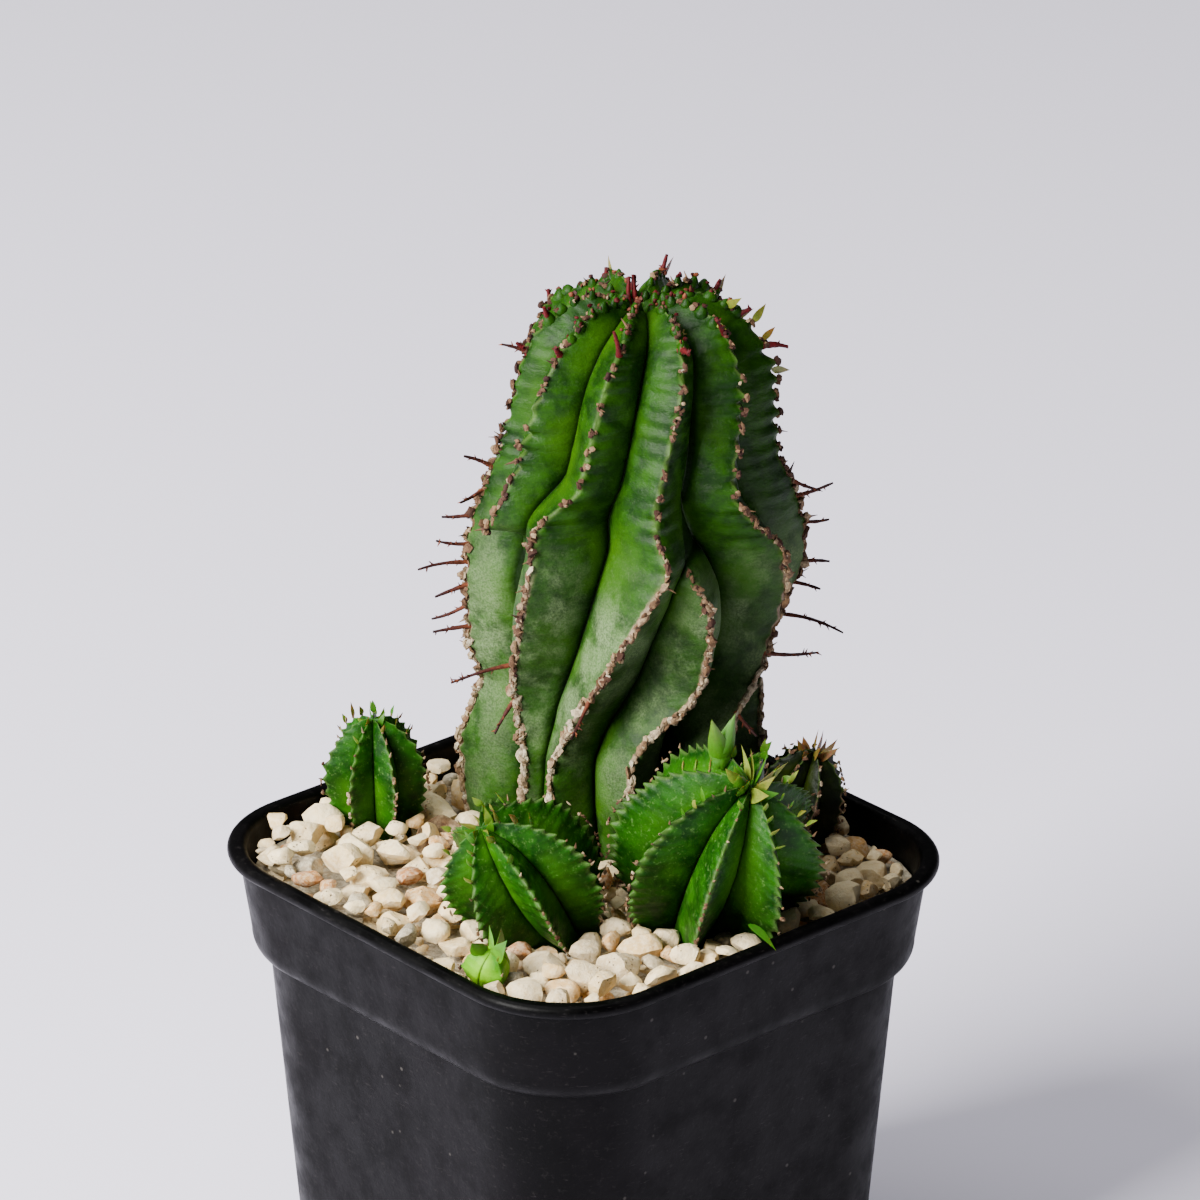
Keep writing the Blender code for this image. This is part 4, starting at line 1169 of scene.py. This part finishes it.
# ---------------------------------------------------------------------------- the gravel
# The soil is dressed with crushed pumice: cream chips three to six millimetres long, some
# stained tan or rust, a few grey. The biggest lie on top, most of them heaped on the left.
CHIP_COUNT = 700                # the common chips
GRIT_COUNT = 1100               # the small ones that fill the gaps between them
COARSE_COUNT = 90               # the first stones laid are a quarter bigger
PLACES_TRIED = 16               # a chip takes the lowest of so many places
GRIT_PLACES_TRIED = 34
NESTLE = 0.86                   # how closely chips pack, side by side
SETTLE = 0.75                   # and one on another
HIGHEST_CHIP = 0.0040           # above the bed's top and its heap
HIGHEST_GRIT = 0.0008
BED_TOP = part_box("gravel_bed")[1][2]
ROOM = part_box("gravel_bed")[1][0] - 0.0004      # from the middle of the pot to its wall
ROOM_CORNER = 0.0172
HEAP_PLACE = (-0.034, 0.030)
HEAP_HEIGHT = 0.0030
HEAP_WIDTH = 0.022
# The biggest stones: places as shares of the room each way, and lengths.
BIG_STONES = (
    (-0.70, 0.80, 0.0090), (-0.62, 0.58, 0.0082), (-0.84, 0.60, 0.0060), (-0.52, 0.36, 0.0064),
    (-0.82, 0.36, 0.0058), (-0.66, 0.16, 0.0070), (-0.86, 0.08, 0.0060), (-0.74, -0.03, 0.0056),
    (-0.80, -0.20, 0.0062), (-0.64, -0.52, 0.0072), (0.68, -0.63, 0.0060), (-0.46, -0.72, 0.0078),
    (-0.74, -0.72, 0.0060), (0.52, -0.78, 0.0064), (0.76, -0.78, 0.0070), (0.88, -0.56, 0.0062),
    (0.48, -0.56, 0.0056), (-0.02, 0.86, 0.0064), (0.30, 0.88, 0.0058), (0.76, 0.80, 0.0066),
)


def pumice():
    material, tree, shader = finish("crushed_pumice")
    creams = ((0.12, tint(204, 180, 136)), (0.40, tint(236, 214, 166)),
              (0.66, tint(224, 192, 134)), (0.82, tint(194, 146, 84)))
    stone = toned(tree, tint(140, 130, 110), creams, tint(160, 98, 50))
    stain = fade(tree, grain(tree, 0.0028, 4.0, 0.6), 0.50, 0.72)
    stone = paint(tree, stone, tint(182, 144, 88), product(tree, stain, 0.55))
    chalk = fade(tree, grain(tree, 0.0009, 4.0, 0.7), 0.40, 0.62)
    stone = paint(tree, stone, tint(244, 232, 202), product(tree, chalk, 0.35))
    # Small round pits, dented in by the bump and painted dark brown as painted shade in their hollows.
    pits = fade(tree, spots(tree, 0.00075), 0.26, 0.10)
    pitted = product(tree, pits, fade(tree, grain(tree, 0.0050, 2.0, 0.5), 0.48, 0.62))
    stone = paint(tree, stone, tint(70, 58, 48), product(tree, pitted, 0.75))
    feed(tree, shader.inputs["Base Color"], stone)
    shader.inputs["Roughness"].default_value = 0.86
    rough = relief(tree, grain(tree, 0.0012, 5.0, 0.7), 0.00045)
    feed(tree, shader.inputs["Normal"], relief(tree, sums(tree, "SUBTRACT", 1.0, pitted), 0.0002, rough))
    return material


def add_stone(bm, layer, dice, place, length, steps, rough):
    """One broken chip: an egg with flats knocked off it."""
    verts = bmesh.ops.create_icosphere(bm, subdivisions=steps, radius=0.5)["verts"]
    flats = []
    for _ in range(8):
        way = Vector([dice.gauss(0, 1) for _ in range(3)]).normalized()
        flats.append((way, dice.uniform(0.24, 0.40)))
    turn = Matrix.Rotation(dice.uniform(0, 6.28), 4, "Z")
    tilt = Matrix.Rotation(dice.uniform(-0.5, 0.5), 4, "X")
    wide = dice.uniform(0.68, 0.95)
    thick = dice.uniform(0.55, 0.78)
    shape = turn @ tilt @ Matrix.Diagonal((length, length * wide, length * thick, 1))
    tone = dice.random()
    tone = tone * 0.72 if dice.random() < 0.82 else 0.76 + 0.24 * tone
    for vertex in verts:
        point = vertex.co * dice.uniform(1 - rough, 1 + rough)
        for way, far in flats:
            over = point.dot(way) - far
            if over > 0:
                point = point - way * over * 0.97
        vertex.co = Vector(place) + shape @ point
        vertex[layer] = tone


def in_room(x, y, margin):
    """Whether a stone with this much round it fits between the pot's walls."""
    middle = ROOM - ROOM_CORNER
    over = math.hypot(max(abs(x) - middle, 0.0), max(abs(y) - middle, 0.0))
    return over < ROOM_CORNER - margin


def heap(x, y):
    """How much higher the gravel is banked up, most of all in the left-hand corner."""
    away = math.hypot(x - HEAP_PLACE[0], y - HEAP_PLACE[1])
    return HEAP_HEIGHT * math.exp(-(away / HEAP_WIDTH) ** 2)


stems = []
for name in ("main_stem", *OFFSETS):
    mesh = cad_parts[name].data
    stems.append(BVHTree.FromPolygons([vertex.co.copy() for vertex in mesh.vertices],
                                      [list(face.vertices) for face in mesh.polygons]))


def clear_of_stems(point, margin):
    for tree in stems:
        place, normal, _, distance = tree.find_nearest(point)
        if distance < margin or (point - place).dot(normal) < 0:
            return False
    return True


dice = random.Random(7)
laid = np.zeros((CHIP_COUNT + GRIT_COUNT + len(BIG_STONES), 4))      # place and radius of each
laid_count = 0
small, small_layer = toned_bmesh()
big, big_layer = toned_bmesh()
for x_share, y_share, length in BIG_STONES:
    x, y = x_share * ROOM, y_share * ROOM
    z = BED_TOP + length * 0.32 + heap(x, y) * 0.6
    add_stone(big, big_layer, dice, (x, y, z), length, 4, 0.012)
    laid[laid_count] = (x, y, z, length / 2)
    laid_count += 1
for number in range(CHIP_COUNT + GRIT_COUNT):
    grit = number >= CHIP_COUNT
    radius = dice.triangular(0.0013, 0.0036, 0.0022) * (1.25 if laid_count < COARSE_COUNT else 1.0)
    if grit:
        radius = dice.uniform(0.0009, 0.0017)
    best = None
    for _ in range(GRIT_PLACES_TRIED if grit else PLACES_TRIED):
        x, y = dice.uniform(-ROOM, ROOM), dice.uniform(-ROOM, ROOM)
        if not in_room(x, y, radius * 0.9):
            continue
        near = laid[:laid_count]
        flat = np.hypot(near[:, 0] - x, near[:, 1] - y)
        if np.any(flat[:len(BIG_STONES)] < near[:len(BIG_STONES), 3] * 0.95):
            continue
        touch = (near[:, 3] + radius) * NESTLE
        climb = SETTLE * np.sqrt(np.maximum(touch ** 2 - flat ** 2, 0))
        on_top = np.where(flat < touch, near[:, 2] + climb, 0)
        z = max(BED_TOP - 0.25 * radius, float(on_top.max()))
        if not clear_of_stems(Vector((x, y, z)), radius * 0.7):
            continue
        cost = z - heap(x, y)
        if best is None or cost < best[0]:
            best = (cost, x, y, z)
    if best is None or best[0] > BED_TOP + (HIGHEST_GRIT if grit else HIGHEST_CHIP):
        continue
    laid[laid_count] = (*best[1:], radius)
    laid_count += 1
    add_stone(small, small_layer, dice, best[1:], radius * 2.25, 2, 0.06)
stone = pumice()
place_piece("loose_gravel", small, stone, sharp=38)
place_piece("big_gravel", big, stone,
            [f"stone_{number:02d}" for number in range(1, len(BIG_STONES) + 1)], sharp=38)
refinish("gravel_bed", stone)

# ----------------------------------------------------------------- a leaf and a dry husk
# A small leaf has dropped and hangs over the lip in front, and a curled scrap of dry skin lies
# on the stones by the tall stem's foot. Nothing fixes them.
HANGING_LENGTH = 0.0062
HANGING_WIDTH = 0.0017
HUSK_LENGTH = 0.0092
HUSK_WIDTH = 0.0062
HUSK_THICKNESS = 0.00025
HUSK_TURN = math.radians(194)


def middle_of(name):
    low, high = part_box(name)
    return (Vector(low) + Vector(high)) / 2


bm, tone_layer = toned_bmesh()
way = Vector((0.10, -1.0, -0.25)).normalized()
start = middle_of("rim_leaf") - way * 0.0030 + Vector((0, 0, 0.0004))
leaf_blade(bm, tone_layer, facing(way, (1, 0, 0), start), HANGING_LENGTH, HANGING_WIDTH, -0.18, 0.25)
place_piece("hanging_leaf", bm, leaf, ["rim_leaf"], sharp=60)

bm, tone_layer = toned_bmesh()
bmesh.ops.create_grid(bm, x_segments=14, y_segments=9, size=0.5)
for vertex in bm.verts:
    x, y = vertex.co.x, vertex.co.y
    wide = 1.0 - 0.55 * abs(2 * x) ** 2.2
    lift = 0.9 * (y * 2 * wide) ** 2 * 0.0016 + 0.0007 * math.sin(9 * x + 3 * y)
    vertex.co = (x * HUSK_LENGTH, y * wide * HUSK_WIDTH, lift)
    vertex[tone_layer] = 0.62 + 0.2 * math.sin(14 * x) * math.cos(11 * y)
tilt = Matrix.Rotation(0.35, 3, "X") @ Matrix.Rotation(HUSK_TURN, 3, "Z")
bmesh.ops.rotate(bm, verts=bm.verts, matrix=tilt)
bmesh.ops.translate(bm, verts=bm.verts, vec=middle_of("dry_husk") + Vector((0, 0, 0.0022)))
bmesh.ops.recalc_face_normals(bm, faces=bm.faces)
bmesh.ops.solidify(bm, geom=bm.faces[:], thickness=HUSK_THICKNESS)
place_piece("fallen_husk", bm, bits, ["dry_husk"], sharp=50)
